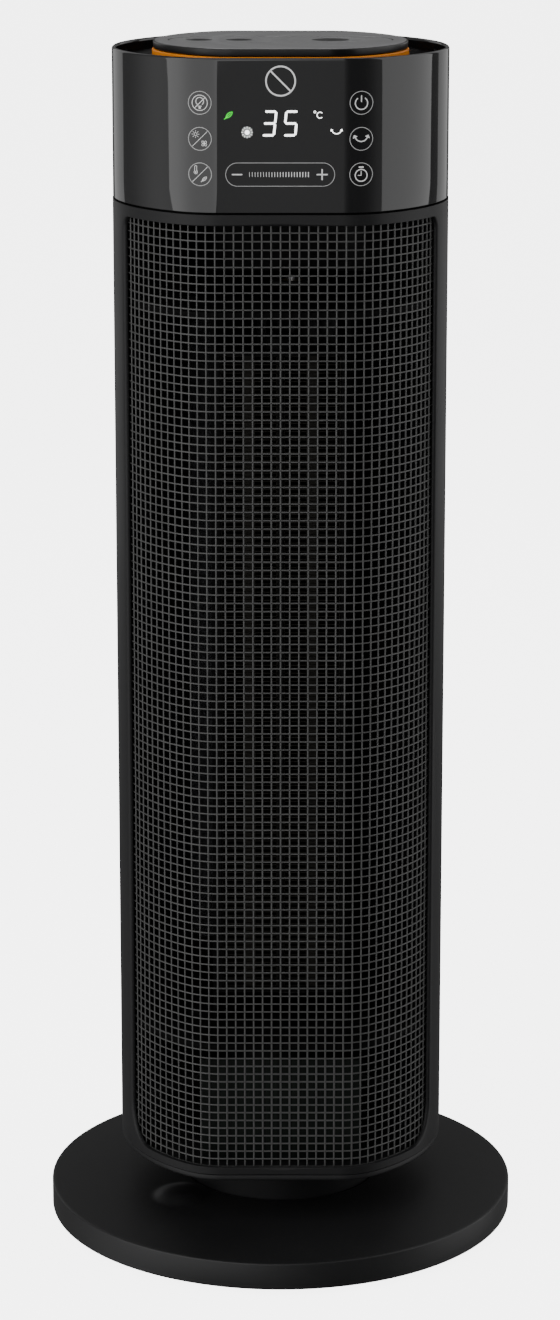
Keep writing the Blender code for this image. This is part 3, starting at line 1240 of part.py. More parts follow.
def remote():
    axis = pivot("remote", (0.0, 0.0, REMOTE_BOTTOM))
    outline = pill(REMOTE_LENGTH, REMOTE_WIDTH)
    inner = pill(REMOTE_LENGTH, REMOTE_WIDTH, REMOTE_WALL)
    floor = REMOTE_BOTTOM + REMOTE_SKIN
    lower = plate("remote_base", [outline], REMOTE_BOTTOM, REMOTE_JOIN, "gloss_black", axis)
    hollow = plate("remote_base_cut", [inner], floor, REMOTE_JOIN + 0.01, None, axis, cutter=True)
    combine(lower, hollow, "DIFFERENCE")

    low = REMOTE_JOIN + REST_GAP
    roof = REMOTE_TOP - REMOTE_SKIN
    holes = [circle(radius + BUTTON_GAP, 24, (x, 0.0)) for _, x, radius in REMOTE_BUTTONS]
    upper = plate("remote_top", [outline] + holes, low, REMOTE_TOP, "dark_grey", axis)
    hollow = plate("remote_top_cut", [inner], low - 0.01, roof, None, axis, cutter=True)
    combine(upper, hollow, "DIFFERENCE")

    board = pill(REMOTE_LENGTH, REMOTE_WIDTH, REMOTE_WALL + REST_GAP)
    board_top = low + REMOTE_BOARD
    plate("remote_board", [board], low, board_top, "board_green", axis)
    cell = [(CELL_RADIUS, floor + REST_GAP), (CELL_RADIUS, floor + REST_GAP + CELL_HEIGHT)]
    turned("coin_cell", cell, "steel", 24, parent=axis)

    for name, x, radius in REMOTE_BUTTONS:
        top = REMOTE_TOP
        flange_top = roof - REST_GAP
        flange_bottom = flange_top - BUTTON_FLANGE_HEIGHT
        profile = [
            (radius + BUTTON_FLANGE, flange_bottom), (radius + BUTTON_FLANGE, flange_top),
            (radius, flange_top), (radius, top - BUTTON_EDGE / 2), (radius - BUTTON_EDGE, top),
            (radius - BUTTON_RIM, top), (radius * 0.45, top - BUTTON_DISH),
        ]
        key = pivot(name, (x, 0.0, flange_bottom))
        turned(name, profile, "gloss_black", 20, (x, 0.0), parent=key)


def main():
    for obj in list(bpy.data.objects):
        bpy.data.objects.remove(obj, do_unlink=True)
    base_cover()
    base_plate()
    ballast()
    feet()
    base_screws()
    cord_gland()
    tip_over_switch()
    swivel()
    tower_floor()
    oscillation_drive()
    front_housing()
    rear_housing()
    front_grille()
    rear_cover()
    bulkheads()
    fan_motor()
    fan()
    shaft_bearing()
    duct()
    heater()
    power_board()
    main_switch()
    control_board()
    head()
    top_plate()
    remote()


main()
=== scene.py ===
"""Looks of a ceramic tower heater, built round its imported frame.

Metres, +Z up. The origin is on the floor under the tower's axis, and the front faces -Y.
An azimuth is an angle about the tower's axis, 0 at the front and growing towards +X.
"""

import logging
import math
from collections.abc import Sequence
from dataclasses import dataclass
from enum import Enum, auto
from typing import Any, Protocol

import bmesh
import bpy
import numpy as np
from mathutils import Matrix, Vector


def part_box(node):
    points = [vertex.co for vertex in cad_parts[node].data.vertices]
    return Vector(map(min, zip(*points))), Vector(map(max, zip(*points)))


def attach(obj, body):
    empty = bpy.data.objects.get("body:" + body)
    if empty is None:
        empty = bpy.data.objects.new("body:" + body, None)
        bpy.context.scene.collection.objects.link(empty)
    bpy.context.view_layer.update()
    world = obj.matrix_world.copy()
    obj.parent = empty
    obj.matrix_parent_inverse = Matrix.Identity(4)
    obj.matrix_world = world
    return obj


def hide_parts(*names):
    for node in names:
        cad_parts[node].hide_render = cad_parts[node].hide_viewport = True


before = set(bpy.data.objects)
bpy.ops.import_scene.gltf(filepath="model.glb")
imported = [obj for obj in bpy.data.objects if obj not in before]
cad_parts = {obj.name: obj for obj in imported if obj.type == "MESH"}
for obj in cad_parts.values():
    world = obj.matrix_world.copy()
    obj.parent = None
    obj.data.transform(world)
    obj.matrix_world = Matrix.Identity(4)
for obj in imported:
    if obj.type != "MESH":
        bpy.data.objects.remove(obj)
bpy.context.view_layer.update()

Array = np.ndarray
Colour = tuple[float, float, float]
log = logging.getLogger("tower_heater")

MM = 0.001
FULL_TURN = 2 * math.pi


# Outlines and paths


class Outline(Protocol):
    """A closed shape in plan, given by its reach from the axis."""

    def reach(self, azimuth: Array, inset: float) -> Array:
        """Distance from the axis to the shape, drawn in by an inset, at each azimuth."""


Row = tuple[Outline, float, float, float]  # an outline, its inset, a share of its reach, a height


@dataclass(frozen=True)
class Circle:
    """A round outline."""

    radius: float

    def reach(self, azimuth: Array, inset: float = 0.0) -> Array:
        """The same radius at every azimuth."""
        return np.full_like(azimuth, self.radius - inset)


@dataclass(frozen=True)
class Section:
    """A round outline with a flat front and back, each blended into the round sides by an arc."""

    radius: float
    flat: float
    blend: float

    @property
    def middle(self) -> tuple[float, float]:
        """Centre of the blend arc: its distances from the axis across and to the front."""
        forward = self.flat - self.blend
        return math.sqrt((self.radius - self.blend) ** 2 - forward**2), forward

    @property
    def breaks(self) -> tuple[float, float]:
        """Azimuths where the flat ends and where the round side starts."""
        across, forward = self.middle
        return math.atan2(across, self.flat), math.atan2(across, forward)

    def reach(self, azimuth: Array, inset: float = 0.0) -> Array:
        """Distance from the axis: flat / cos on the flat, the far crossing with the blend circle, the radius.

        Args:
            azimuth: angles from the front.
            inset: how far the whole outline is drawn in, square to itself.

        Returns:
            One distance for each azimuth.
        """
        radius, flat, blend = self.radius - inset, self.flat - inset, self.blend - inset
        turn = np.abs(np.remainder(azimuth + np.pi / 2, np.pi) - np.pi / 2)
        across, forward = self.middle
        along = np.sin(turn) * across + np.cos(turn) * forward
        bend = along + np.sqrt(np.maximum(along**2 - across**2 - forward**2 + blend**2, 0.0))
        level = flat / np.maximum(np.cos(turn), 0.1)
        flat_end = math.atan2(across, flat)
        return np.select([turn <= flat_end, turn < self.breaks[1]], [level, bend], radius)

    def front(self, across: Array, proud: float = 0.0) -> Array:
        """The Y of the front surface at a distance across.

        Args:
            across: X values.
            proud: how far outside the outline the surface lies.

        Returns:
            One Y for each X: minus the flat, or minus the height of the blend arc or of the round side.
        """
        side = np.abs(across)
        middle, forward = self.middle
        blend, radius = self.blend + proud, self.radius + proud
        bend = forward + np.sqrt(np.maximum(blend**2 - (side - middle) ** 2, 0.0))
        sweep = np.sqrt(np.maximum(radius**2 - side**2, 0.0))
        join = radius * middle / (self.radius - self.blend)
        level = np.full_like(side, self.flat + proud)
        return -np.select([side <= middle, side <= join], [level, bend], sweep)

    def azimuths(self, step: float = 1.25) -> Array:
        """Angles all round, a step of so many degrees apart, and exactly where the flats and blends end."""
        even = np.radians(np.arange(-180.0, 180.0, step))
        flat_end, round_start = self.breaks
        quarter = np.array([flat_end, round_start])
        breaks = np.concatenate([quarter, -quarter, np.pi - quarter, quarter - np.pi])
        clear = np.abs(even[:, None] - breaks[None]).min(axis=1) > math.radians(step) * 0.3
        return np.sort(np.concatenate([even[clear], breaks]))


@dataclass(frozen=True)
class Pill:
    """A straight-sided outline with round ends, long across the front."""

    length: float
    width: float

    def reach(self, azimuth: Array, inset: float = 0.0) -> Array:
        """Distance from the middle: half width / cos on the straight side, then the crossing with the end."""
        half = self.width / 2 - inset
        arm = (self.length - self.width) / 2
        side, ahead = np.abs(np.sin(azimuth)), np.abs(np.cos(azimuth))
        straight = half / np.maximum(ahead, 1e-6)
        end = arm * side + np.sqrt(np.maximum(half**2 - (arm * ahead) ** 2, 0.0))
        return np.where(straight * side <= arm, straight, end)


def filleted(corners: Sequence[tuple[float, float, float]], steps: int = 4) -> Array:
    """A closed path whose corners are rounded.

    Each arc touches both straight runs, so it starts rounding / tan(half the corner's angle) before the
    corner, and its centre lies on the corner's bisector.

    Args:
        corners: (across, up, rounding) of each corner; a rounding of 0 keeps it sharp.
        steps: straight pieces in each arc.

    Returns:
        Points of the path, (n, 2).
    """
    table = np.array(corners, float)
    point, rounding = table[:, :2], table[:, 2]
    back = np.roll(point, 1, axis=0) - point
    ahead = np.roll(point, -1, axis=0) - point
    back_length = np.linalg.norm(back, axis=1, keepdims=True)
    ahead_length = np.linalg.norm(ahead, axis=1, keepdims=True)
    back, ahead = back / back_length, ahead / ahead_length
    half = np.arccos(np.clip((back * ahead).sum(axis=1), -0.9999, 0.9999)) / 2
    room = 0.49 * np.minimum(back_length, ahead_length)[:, 0]
    rounding = np.minimum(rounding, room * np.tan(half))
    bisector = back + ahead
    bisector = bisector / np.maximum(np.linalg.norm(bisector, axis=1, keepdims=True), 1e-12)
    centre = point + bisector * (rounding / np.sin(half))[:, None]
    first = point + back * (rounding / np.tan(half))[:, None] - centre
    last = point + ahead * (rounding / np.tan(half))[:, None] - centre
    start = np.arctan2(first[:, 1], first[:, 0])
    sweep = np.remainder(np.arctan2(last[:, 1], last[:, 0]) - start + np.pi, FULL_TURN) - np.pi
    turn = start[:, None] + sweep[:, None] * np.linspace(0.0, 1.0, steps + 1)
    arcs = centre[:, None] + rounding[:, None, None] * np.stack([np.cos(turn), np.sin(turn)], axis=-1)
    keep = np.ones(arcs.shape[:2], bool)
    keep[:, 1:] = (rounding > 1e-9)[:, None]
    return arcs[keep]


def rounded_loop(low: Sequence[float], high: Sequence[float], rounding: tuple[float, float],
                 counts: tuple[int, int, int]) -> Array:
    """A rectangle with round corners, in the order lower, right, upper and left side.

    Args:
        low: its lowest corner, (across, up).
        high: its highest corner.
        rounding: radius of the two lower corners and of the two upper ones.
        counts: points along each lower and upper side, along each upright side, and round each corner.

    Returns:
        Points of the loop, (n, 2), in the same order and number for any rectangle with the same counts.
    """
    across, up, corner = counts
    lower, upper = rounding
    parts = []
    middles = (
        (high[0] - lower, low[1] + lower, lower, -90.0),
        (high[0] - upper, high[1] - upper, upper, 0.0),
        (low[0] + upper, high[1] - upper, upper, 90.0),
        (low[0] + lower, low[1] + lower, lower, 180.0),
    )
    for side, (x, z, radius, start) in enumerate(middles):
        before = middles[side - 1]
        turn = math.radians(start)
        leave = np.array([before[0] + before[2] * math.cos(turn), before[1] + before[2] * math.sin(turn)])
        arrive = np.array([x + radius * math.cos(turn), z + radius * math.sin(turn)])
        share = np.linspace(0.0, 1.0, (across if side % 2 == 0 else up) + 1)[:-1, None]
        parts.append(leave + (arrive - leave) * share)
        bend = turn + np.linspace(0.0, np.pi / 2, corner + 1)[:-1]
        parts.append(np.stack([x + radius * np.cos(bend), z + radius * np.sin(bend)], axis=1))
    return np.concatenate(parts)


# Surfaces


@dataclass
class Surface:
    """Corner points and four-sided faces of one or more surfaces."""

    points: Array
    faces: Array

    @classmethod
    def grid(cls, points: Array, wrap_rows: bool = False, wrap_columns: bool = False) -> "Surface":
        """A surface of two parameters, from its points on a grid.

        Args:
            points: (rows, columns, 3).
            wrap_rows: joins the last row to the first.
            wrap_columns: joins the last column to the first.

        Returns:
            The surface, with one face between each four neighbours.
        """
        rows, columns = points.shape[:2]
        index = np.arange(rows * columns).reshape(rows, columns)
        if wrap_rows:
            index = np.concatenate([index, index[:1]])
        if wrap_columns:
            index = np.concatenate([index, index[:, :1]], axis=1)
        faces = np.stack([index[:-1, :-1], index[1:, :-1], index[1:, 1:], index[:-1, 1:]], axis=-1)
        return cls(points.reshape(-1, 3), faces.reshape(-1, 4))

    def __add__(self, other: "Surface") -> "Surface":
        """Both surfaces as one."""
        return joined([self, other])


def joined(surfaces: Sequence[Surface]) -> Surface:
    """Several surfaces as one."""
    starts = np.cumsum([0] + [len(s.points) for s in surfaces[:-1]])
    return Surface(np.concatenate([s.points for s in surfaces]),
                   np.concatenate([s.faces + start for s, start in zip(surfaces, starts)]))


def loft(rows: Sequence[Row], azimuths: Array, wrap: bool = True) -> Surface:
    """A skin through outlines at several heights: each point is the outline's reach along its azimuth.

    Args:
        rows: (outline, inset, share of its reach, height) one after another; a share of 0 closes the skin.
        azimuths: the angles where each outline is read.
        wrap: joins the last row to the first.

    Returns:
        The skin.
    """
    reach = np.array([outline.reach(azimuths, inset) * share for outline, inset, share, _ in rows])
    height = np.array([[row[3]] for row in rows]) + np.zeros_like(reach)
    points = np.stack([reach * np.sin(azimuths), -reach * np.cos(azimuths), height], axis=-1)
    return Surface.grid(points, wrap_rows=wrap, wrap_columns=True)


def swept(outline: Outline, profile: Array, azimuths: Array) -> Surface:
    """A closed profile of (inset, height) points carried round an outline."""
    return loft([(outline, inset, 1.0, height) for inset, height in profile], azimuths)


def turned(profile: Array, centre: Sequence[float] = (0.0, 0.0), steps: int = 64,
           wrap: bool = True) -> Surface:
    """A profile of (radius, height) points turned about an upright axis through a centre."""
    turn = np.linspace(0.0, FULL_TURN, steps, endpoint=False)
    radius, height = profile[:, :1], profile[:, 1:2]
    x, y = centre[0] + radius * np.cos(turn), centre[1] + radius * np.sin(turn)
    points = np.stack([x, y, height + np.zeros_like(x)], axis=-1)
    return Surface.grid(points, wrap_rows=wrap, wrap_columns=True)


def rod(radius: float, low: float, high: float, centre: Sequence[float] = (0.0, 0.0),
        steps: int = 48) -> Surface:
    """A closed upright cylinder between two heights."""
    profile = np.array([(0.0, low), (radius, low), (radius, high), (0.0, high)])
    return turned(profile, centre, steps, wrap=False)


def laid(upright: Surface, back: float, up: float) -> Surface:
    """A surface about the upright axis, laid down along Y through a place."""
    x, y, z = upright.points.T
    return Surface(np.stack([x, back + z, up - y], axis=1), upright.faces)


def boxes(low: Array, high: Array) -> Surface:
    """Closed blocks, one for each pair of corners: each corner mixes low and high by its own bits."""
    pick = np.array([[0, 0, 0], [1, 0, 0], [1, 1, 0], [0, 1, 0], [0, 0, 1], [1, 0, 1], [1, 1, 1], [0, 1, 1]])
    corners = low[:, None] + (high - low)[:, None] * pick[None]
    sides = np.array([[0, 3, 2, 1], [4, 5, 6, 7], [0, 1, 5, 4], [1, 2, 6, 5], [2, 3, 7, 6], [3, 0, 4, 7]])
    faces = np.arange(len(low))[:, None, None] * 8 + sides[None]
    return Surface(corners.reshape(-1, 3), faces.reshape(-1, 4))


def tubes(points: Array) -> Surface:
    """Closed tubes from (tube, stop, side) points, each end drawn together to its middle."""
    ends = np.broadcast_to(points.mean(axis=2, keepdims=True), points.shape)
    closed = np.concatenate([ends[:, :1], points, ends[:, -1:]], axis=1)
    return joined([Surface.grid(tube, wrap_columns=True) for tube in closed])


def raised(plan: Array, height: Array) -> Array:
    """Points from their places in plan and their heights, broadcast together."""
    return np.stack(np.broadcast_arrays(plan[..., 0], plan[..., 1], height), axis=-1)


def quarter_round(steps: int) -> Array:
    """Stops along a quarter-round edge of radius 1: what is left to go across, and what is gone along."""
    turn = np.linspace(0.0, np.pi / 2, steps)
    return np.stack([1 - np.sin(turn), 1 - np.cos(turn)], axis=1)


@dataclass(frozen=True)
class CurvedPanel:
    """A panel of one thickness on a section's wall, laid out flat as (distance round, height) loops."""

    section: Section
    inset: float
    wall: float

    def place(self, flat: Array, depth: Array | float) -> Array:
        """Points on the wall: the distance round over the radius gives the azimuth, whose reach is used."""
        azimuth = flat[..., 0] / self.section.radius
        outer = self.section.reach(azimuth, self.inset)
        reach = outer - depth * outer / self.section.radius
        return np.stack([reach * np.sin(azimuth), -reach * np.cos(azimuth), flat[..., 1]], axis=-1)

    def skin(self, hole: Array, border: Array, steps: int) -> Surface:
        """The open outer skin between a hole's loop and a border loop: each row is a share of the way out."""
        share = np.linspace(0.0, 1.0, steps + 1)[:, None, None]
        return Surface.grid(self.place(hole + (border - hole) * share, 0.0), wrap_columns=True)

    def ring(self, hole: Array, border: Array, rounding: tuple[float, float], steps: int = 8) -> Surface:
        """A closed frame round a hole, both its edges rounded on the outside.

        Each row lies on the straight lines from the hole to the border: a share of their length and a shift
        along them, at a depth below the outer skin.

        Args:
            hole: loop of the hole, as (distance round, height).
            border: loop of the outer edge, with as many points.
            rounding: radius of the hole's outer edge and of the border's.
            steps: rows across each skin.

        Returns:
            The frame.
        """
        inner, outer = rounding
        share = np.linspace(0.0, 1.0, steps + 1)
        across, along = quarter_round(6)[1:].T
        none, full = np.zeros_like(share), np.zeros_like(across)
        table = np.concatenate([np.stack(row, axis=1) for row in (
            (share, inner * (1 - share) - outer * share, none),
            (full + 1, -outer * across, outer * along),
            (1 - share, none, none + self.wall),
            (full, inner * across[::-1], inner * along[::-1]),
        )])
        run = border - hole
        length = np.maximum(np.linalg.norm(run, axis=1, keepdims=True), 1e-9)
        path = table[:, 0, None, None] * run + table[:, 1, None, None] * run / length
        return Surface.grid(self.place(hole + path, table[:, 2, None]), wrap_rows=True, wrap_columns=True)


# Node groups and finishes


class Graph:
    """A node tree being wired."""

    def __init__(self, tree: bpy.types.NodeTree) -> None:
        """Takes the tree to add to."""
        self.tree = tree

    def feed(self, node: bpy.types.Node, inputs: dict[Any, Any]) -> None:
        """Gives each socket, by name or number, its value or the socket that feeds it."""
        for key, value in inputs.items():
            if isinstance(value, bpy.types.NodeSocket):
                self.tree.links.new(value, node.inputs[key])
            else:
                node.inputs[key].default_value = value

    def add(self, kind: str, inputs: dict[Any, Any] | None = None, **settings: Any) -> bpy.types.Node:
        """Adds a shader node.

        Args:
            kind: the node's type, without its leading "ShaderNode".
            inputs: what its sockets are fed.
            settings: the node's own properties.

        Returns:
            The node.
        """
        node = self.tree.nodes.new("ShaderNode" + kind)
        for name, value in settings.items():
            setattr(node, name, value)
        self.feed(node, inputs or {})
        return node

    def maths(self, operation: str, *values: Any) -> bpy.types.NodeSocket:
        """The result of one Math node."""
        return self.add("Math", dict(enumerate(values)), operation=operation).outputs[0]

    def vector(self, operation: str, *values: Any, output: str = "Vector") -> bpy.types.NodeSocket:
        """The result of one Vector Math node."""
        return self.add("VectorMath", dict(enumerate(values)), operation=operation).outputs[output]

    def weighed(self, first: Any, share: float, second: Any) -> bpy.types.NodeSocket:
        """A share of one value and the rest of another."""
        rest = self.maths("MULTIPLY", second, 1 - share)
        return self.maths("ADD", self.maths("MULTIPLY", first, share), rest)

    def noise(self, place: Any, scale: Any, detail: float) -> bpy.types.NodeSocket:
        """Noise from 0 to 1, read at a place."""
        return self.add("TexNoise", {"Vector": place, "Scale": scale, "Detail": detail}).outputs[0]

    def mixed(self, mask: Any, first: Any, second: Colour) -> bpy.types.NodeSocket:
        """The colour between a constant or a socket and a constant that a mask picks."""
        start = first if isinstance(first, bpy.types.NodeSocket) else (*first, 1.0)
        return self.add("Mix", {0: mask, 6: start, 7: (*second, 1.0)}, data_type="RGBA").outputs[2]

    def ranged(self, value: Any, low: float, high: float) -> bpy.types.NodeSocket:
        """A value from 0 to 1 stretched from low to high."""
        return self.add("MapRange", {0: value, 3: low, 4: high}).outputs[0]

    def between(self, value: Any, low: float, high: float) -> bpy.types.NodeSocket:
        """How far a value is from low to high, from 0 to 1."""
        return self.add("MapRange", {0: value, 1: low, 2: high}).outputs[0]

    def bump(self, height: Any, distance: float) -> bpy.types.NodeSocket:
        """The normal that a height gives, where a height of 1 is so many metres."""
        return self.add("Bump", {"Height": height, "Distance": distance, "Strength": 1.0}).outputs[0]

    def group(self, effect: "Effect", inputs: dict[str, Any]) -> bpy.types.bpy_prop_collection:
        """The outputs of an effect's node group, placed with its own values."""
        return self.add("Group", inputs, node_tree=effect.tree()).outputs


def new_material(name: str) -> tuple[bpy.types.Material, Graph]:
    """A material with a Principled shader, and its tree."""
    material = bpy.data.materials.new(name)
    material.use_nodes = True
    return material, Graph(material.node_tree)


class Effect(Enum):
    """Surface effects that several finishes share, each one node group."""

    MOULDED_GRAIN = "moulded_grain"
    SETTLED_DUST = "settled_dust"
    TURNED_LINES = "turned_lines"
    HANDLING = "handling"

    def tree(self) -> bpy.types.NodeTree:
        """The effect's node group, made when it is first asked for."""
        return bpy.data.node_groups.get(self.value) or new_group(self)


def new_group(effect: Effect) -> bpy.types.NodeTree:
    """Makes an effect's node group, whose first input is the place that its patterns are read at.

    Args:
        effect: which effect it is.

    Returns:
        The group, with a number socket for each of the effect's usual values and for each of its results.
    """
    maker, usual = EFFECT_MAKERS[effect]
    graph = Graph(bpy.data.node_groups.new(effect.value, "ShaderNodeTree"))
    sockets = graph.tree.interface
    sockets.new_socket(name="Place", in_out="INPUT", socket_type="NodeSocketVector")
    for name, value in usual.items():
        sockets.new_socket(name=name, in_out="INPUT", socket_type="NodeSocketFloat").default_value = value
    start = graph.tree.nodes.new("NodeGroupInput")
    results = maker(graph, {socket.name: socket for socket in start.outputs})
    for name in results:
        sockets.new_socket(name=name, in_out="OUTPUT", socket_type="NodeSocketFloat")
    graph.feed(graph.tree.nodes.new("NodeGroupOutput"), results)
    return graph.tree


def moulded_grain(graph: Graph, given: dict[str, Any]) -> dict[str, Any]:
    """The fine spark-eroded texture of a mould, with broad, faint changes of tone: Tone, Gloss and Height."""
    fine = graph.noise(given["Place"], given["Grain"], 2.0)
    pits = graph.add("TexVoronoi", {"Vector": given["Place"], "Scale": given["Grain"]}, feature="SMOOTH_F1")
    broad = graph.noise(given["Place"], given["Patch"], 3.0)
    return {"Tone": graph.weighed(broad, 0.75, fine), "Gloss": broad,
            "Height": graph.weighed(fine, 0.5, pits.outputs["Distance"])}


def settled_dust(graph: Graph, given: dict[str, Any]) -> dict[str, Any]:
    """Specks of dust, thickest on what faces up: Mask."""
    up = graph.add("SeparateXYZ", {0: graph.add("NewGeometry").outputs["Normal"]}).outputs[2]
    sharp = graph.between(graph.noise(given["Place"], given["Speck"], 2.0), 0.56, 0.74)
    drifts = graph.noise(given["Place"], 22.0, 3.0)
    mask = graph.maths("MULTIPLY", graph.maths("MULTIPLY", sharp, drifts), graph.between(up, -0.2, 1.0))
    return {"Mask": graph.maths("MULTIPLY", mask, given["Amount"])}


def turned_lines(graph: Graph, given: dict[str, Any]) -> dict[str, Any]:
    """Fine concentric lines about the upright axis, noise along the distance from it: Tone, whose broad rings
    are painted sheen where a finish colours with it, and Height.
    """
    flat = graph.vector("MULTIPLY", given["Place"], (1.0, 1.0, 0.0))
    radius = graph.vector("LENGTH", flat, output="Value")
    fine, broad = (
        graph.add("TexNoise", {"W": graph.maths("MULTIPLY", radius, lines), "Scale": 1.0, "Detail": detail},
                  noise_dimensions="1D").outputs[0]
        for lines, detail in ((given["Lines"], 2.0), (120.0, 1.0)))
    return {"Tone": graph.weighed(fine, 0.5, broad), "Height": fine}


def handling(graph: Graph, given: dict[str, Any]) -> dict[str, Any]:
    """Marks of wiping and handling on gloss, as soft smears and long faint streaks: Smear and Streak."""
    turned_and_drawn = {"Vector": given["Place"], "Rotation": (0.3, 0.2, 0.5), "Scale": (1.0, 1.0, 14.0)}
    streak = graph.noise(graph.add("Mapping", turned_and_drawn).outputs[0], 90.0, 4.0)
    smear = graph.noise(given["Place"], given["Size"], 4.0)
    return {"Smear": graph.between(smear, 0.45, 0.72), "Streak": graph.between(streak, 0.60, 0.72)}


EFFECT_MAKERS = {
    Effect.MOULDED_GRAIN: (moulded_grain, {"Grain": 1600.0, "Patch": 18.0}),
    Effect.SETTLED_DUST: (settled_dust, {"Amount": 0.3, "Speck": 900.0}),
    Effect.TURNED_LINES: (turned_lines, {"Lines": 1500.0}),
    Effect.HANDLING: (handling, {"Size": 30.0}),
}


@dataclass(frozen=True)
class Finish:
    """How a surface looks. Each kind of finish wires its own detail in dress()."""

    name: str
    slot: str
    colour: Colour
    roughness: float
    metallic: float = 0.0
    specular: float = 0.5

    def material(self) -> bpy.types.Material:
        """The finish's material, made when it is first asked for."""
        return bpy.data.materials.get(self.name) or self.make()

    def make(self) -> bpy.types.Material:
        """Makes the material: constant values on the shader's own sockets, then the finish's own detail."""
        material, graph = new_material(self.name)
        plain = {"Base Color": (*self.colour, 1.0), "Roughness": self.roughness, "Metallic": self.metallic,
                 "Specular IOR Level": self.specular}
        detail = self.dress(graph, graph.add("TexCoord").outputs["Object"])
        graph.feed(graph.tree.nodes["Principled BSDF"], plain | detail)
        return material

    def toned(self, graph: Graph, mask: Any, darker: float, lighter: float) -> bpy.types.NodeSocket:
        """The finish's colour between two factors of it, as a mask picks."""
        return graph.mixed(mask, *(tuple(min(channel * factor, 1.0) for channel in self.colour)
                                   for factor in (darker, lighter)))

    def roughened(self, graph: Graph, mask: Any, spread: float) -> bpy.types.NodeSocket:
        """The finish's roughness, as far to both sides as a mask picks."""
        return graph.ranged(mask, self.roughness - spread, self.roughness + spread)

    def dress(self, graph: Graph, place: bpy.types.NodeSocket) -> dict[str, Any]:
        """The finish's own detail. The plain finish has a faint change of tone and roughness.

        Args:
            graph: the material's tree.
            place: Object coordinates.

        Returns:
            What feeds the shader's sockets.
        """
        broad = graph.noise(place, 60.0, 3.0)
        return {"Base Color": self.toned(graph, broad, 0.8, 1.2),
                "Roughness": self.roughened(graph, broad, 0.03)}


@dataclass(frozen=True)
class MouldedPlastic(Finish):
    """Plastic from a textured mould: fine pits, faint patches, and a little dust on what faces up."""

    grain: float = 1600.0
    depth: float = 0.00004
    dust: float = 0.12
    dust_colour: Colour = (0.16, 0.155, 0.15)

    def dress(self, graph: Graph, place: bpy.types.NodeSocket) -> dict[str, Any]:
        """The mould's texture, and the dust over it."""
        grain = graph.group(Effect.MOULDED_GRAIN, {"Place": place, "Grain": self.grain})
        dust = graph.group(Effect.SETTLED_DUST, {"Place": place, "Amount": self.dust})[0]
        rough = self.roughened(graph, grain["Gloss"], 0.06)
        plastic = self.toned(graph, grain["Tone"], 0.82, 1.18)
        return {"Base Color": graph.mixed(dust, plastic, self.dust_colour),
                "Roughness": graph.maths("ADD", rough, graph.maths("MULTIPLY", dust, 0.3)),
                "Normal": graph.bump(grain["Height"], self.depth)}


@dataclass(frozen=True)
class PianoGloss(Finish):
    """Polished black plastic: a slow ripple in its flow, wiping streaks, smears and stray dust."""

    dust: float = 0.05

    def dress(self, graph: Graph, place: bpy.types.NodeSocket) -> dict[str, Any]:
        """Smears and streaks in the roughness, dust in the colour, and the ripple in the normal."""
        marks = graph.group(Effect.HANDLING, {"Place": place})
        dust = graph.group(Effect.SETTLED_DUST, {"Place": place, "Amount": self.dust})[0]
        worn = graph.maths("ADD", graph.maths("MULTIPLY", marks["Smear"], 0.035),
                           graph.maths("MULTIPLY", marks["Streak"], 0.03))
        return {"Base Color": graph.mixed(dust, self.colour, (0.2, 0.2, 0.2)),
                "Roughness": graph.maths("ADD", worn, self.roughness),
                "Normal": graph.bump(graph.noise(place, 45.0, 1.0), 0.00002)}


@dataclass(frozen=True)
class BrushedCoverWithPaintedSheen(Finish):
    """Dark metallic lacquer over fine concentric brushing, with a painted sheen in broad rings in its colour.
    """

    lines: float = 1500.0
    depth: float = 0.00003
    centre: tuple[float, float, float] = (0.0, 0.0, 0.0)

    def dress(self, graph: Graph, place: bpy.types.NodeSocket) -> dict[str, Any]:
        """The lines, about their own centre, in colour, roughness and normal, and dust on top. In the colour,
        the broad rings are painted sheen.
        """
        about = graph.vector("SUBTRACT", place, self.centre)
        lines = graph.group(Effect.TURNED_LINES, {"Place": about, "Lines": self.lines})
        dust = graph.group(Effect.SETTLED_DUST, {"Place": place, "Amount": 0.10})[0]
        # Colour: the brushing's own tone, and a painted sheen in broad rings about the centre.
        brushed_with_painted_sheen = self.toned(graph, lines["Tone"], 0.55, 1.45)
        return {"Base Color": graph.mixed(dust, brushed_with_painted_sheen, (0.3, 0.3, 0.3)),
                "Roughness": self.roughened(graph, lines["Tone"], 0.10),
                "Normal": graph.bump(lines["Height"], self.depth)}


@dataclass(frozen=True)
class CoatedWire(Finish):
    """Powder-coated wire: orange-peel coat, thinner and lighter in places."""

    def dress(self, graph: Graph, place: bpy.types.NodeSocket) -> dict[str, Any]:
        """The coat's peel in the normal, and its thickness in colour and roughness."""
        grain = graph.group(Effect.MOULDED_GRAIN, {"Place": place, "Grain": 2600.0, "Patch": 60.0})
        return {"Base Color": self.toned(graph, grain["Tone"], 0.75, 1.25),
                "Roughness": self.roughened(graph, grain["Gloss"], 0.08),
                "Normal": graph.bump(grain["Height"], 0.00005)}


@dataclass(frozen=True)
class TurnedMetal(Finish):
    """Metal with tool marks round the upright axis."""

    def dress(self, graph: Graph, place: bpy.types.NodeSocket) -> dict[str, Any]:
        """The tool marks, and patches of tarnish."""
        lines = graph.group(Effect.TURNED_LINES, {"Place": place, "Lines": 4000.0})
        patch = graph.noise(place, 120.0, 4.0)
        return {"Base Color": self.toned(graph, patch, 0.75, 1.1),
                "Roughness": graph.ranged(patch, self.roughness - 0.08, self.roughness + 0.12),
                "Normal": graph.bump(lines["Height"], 0.00003)}


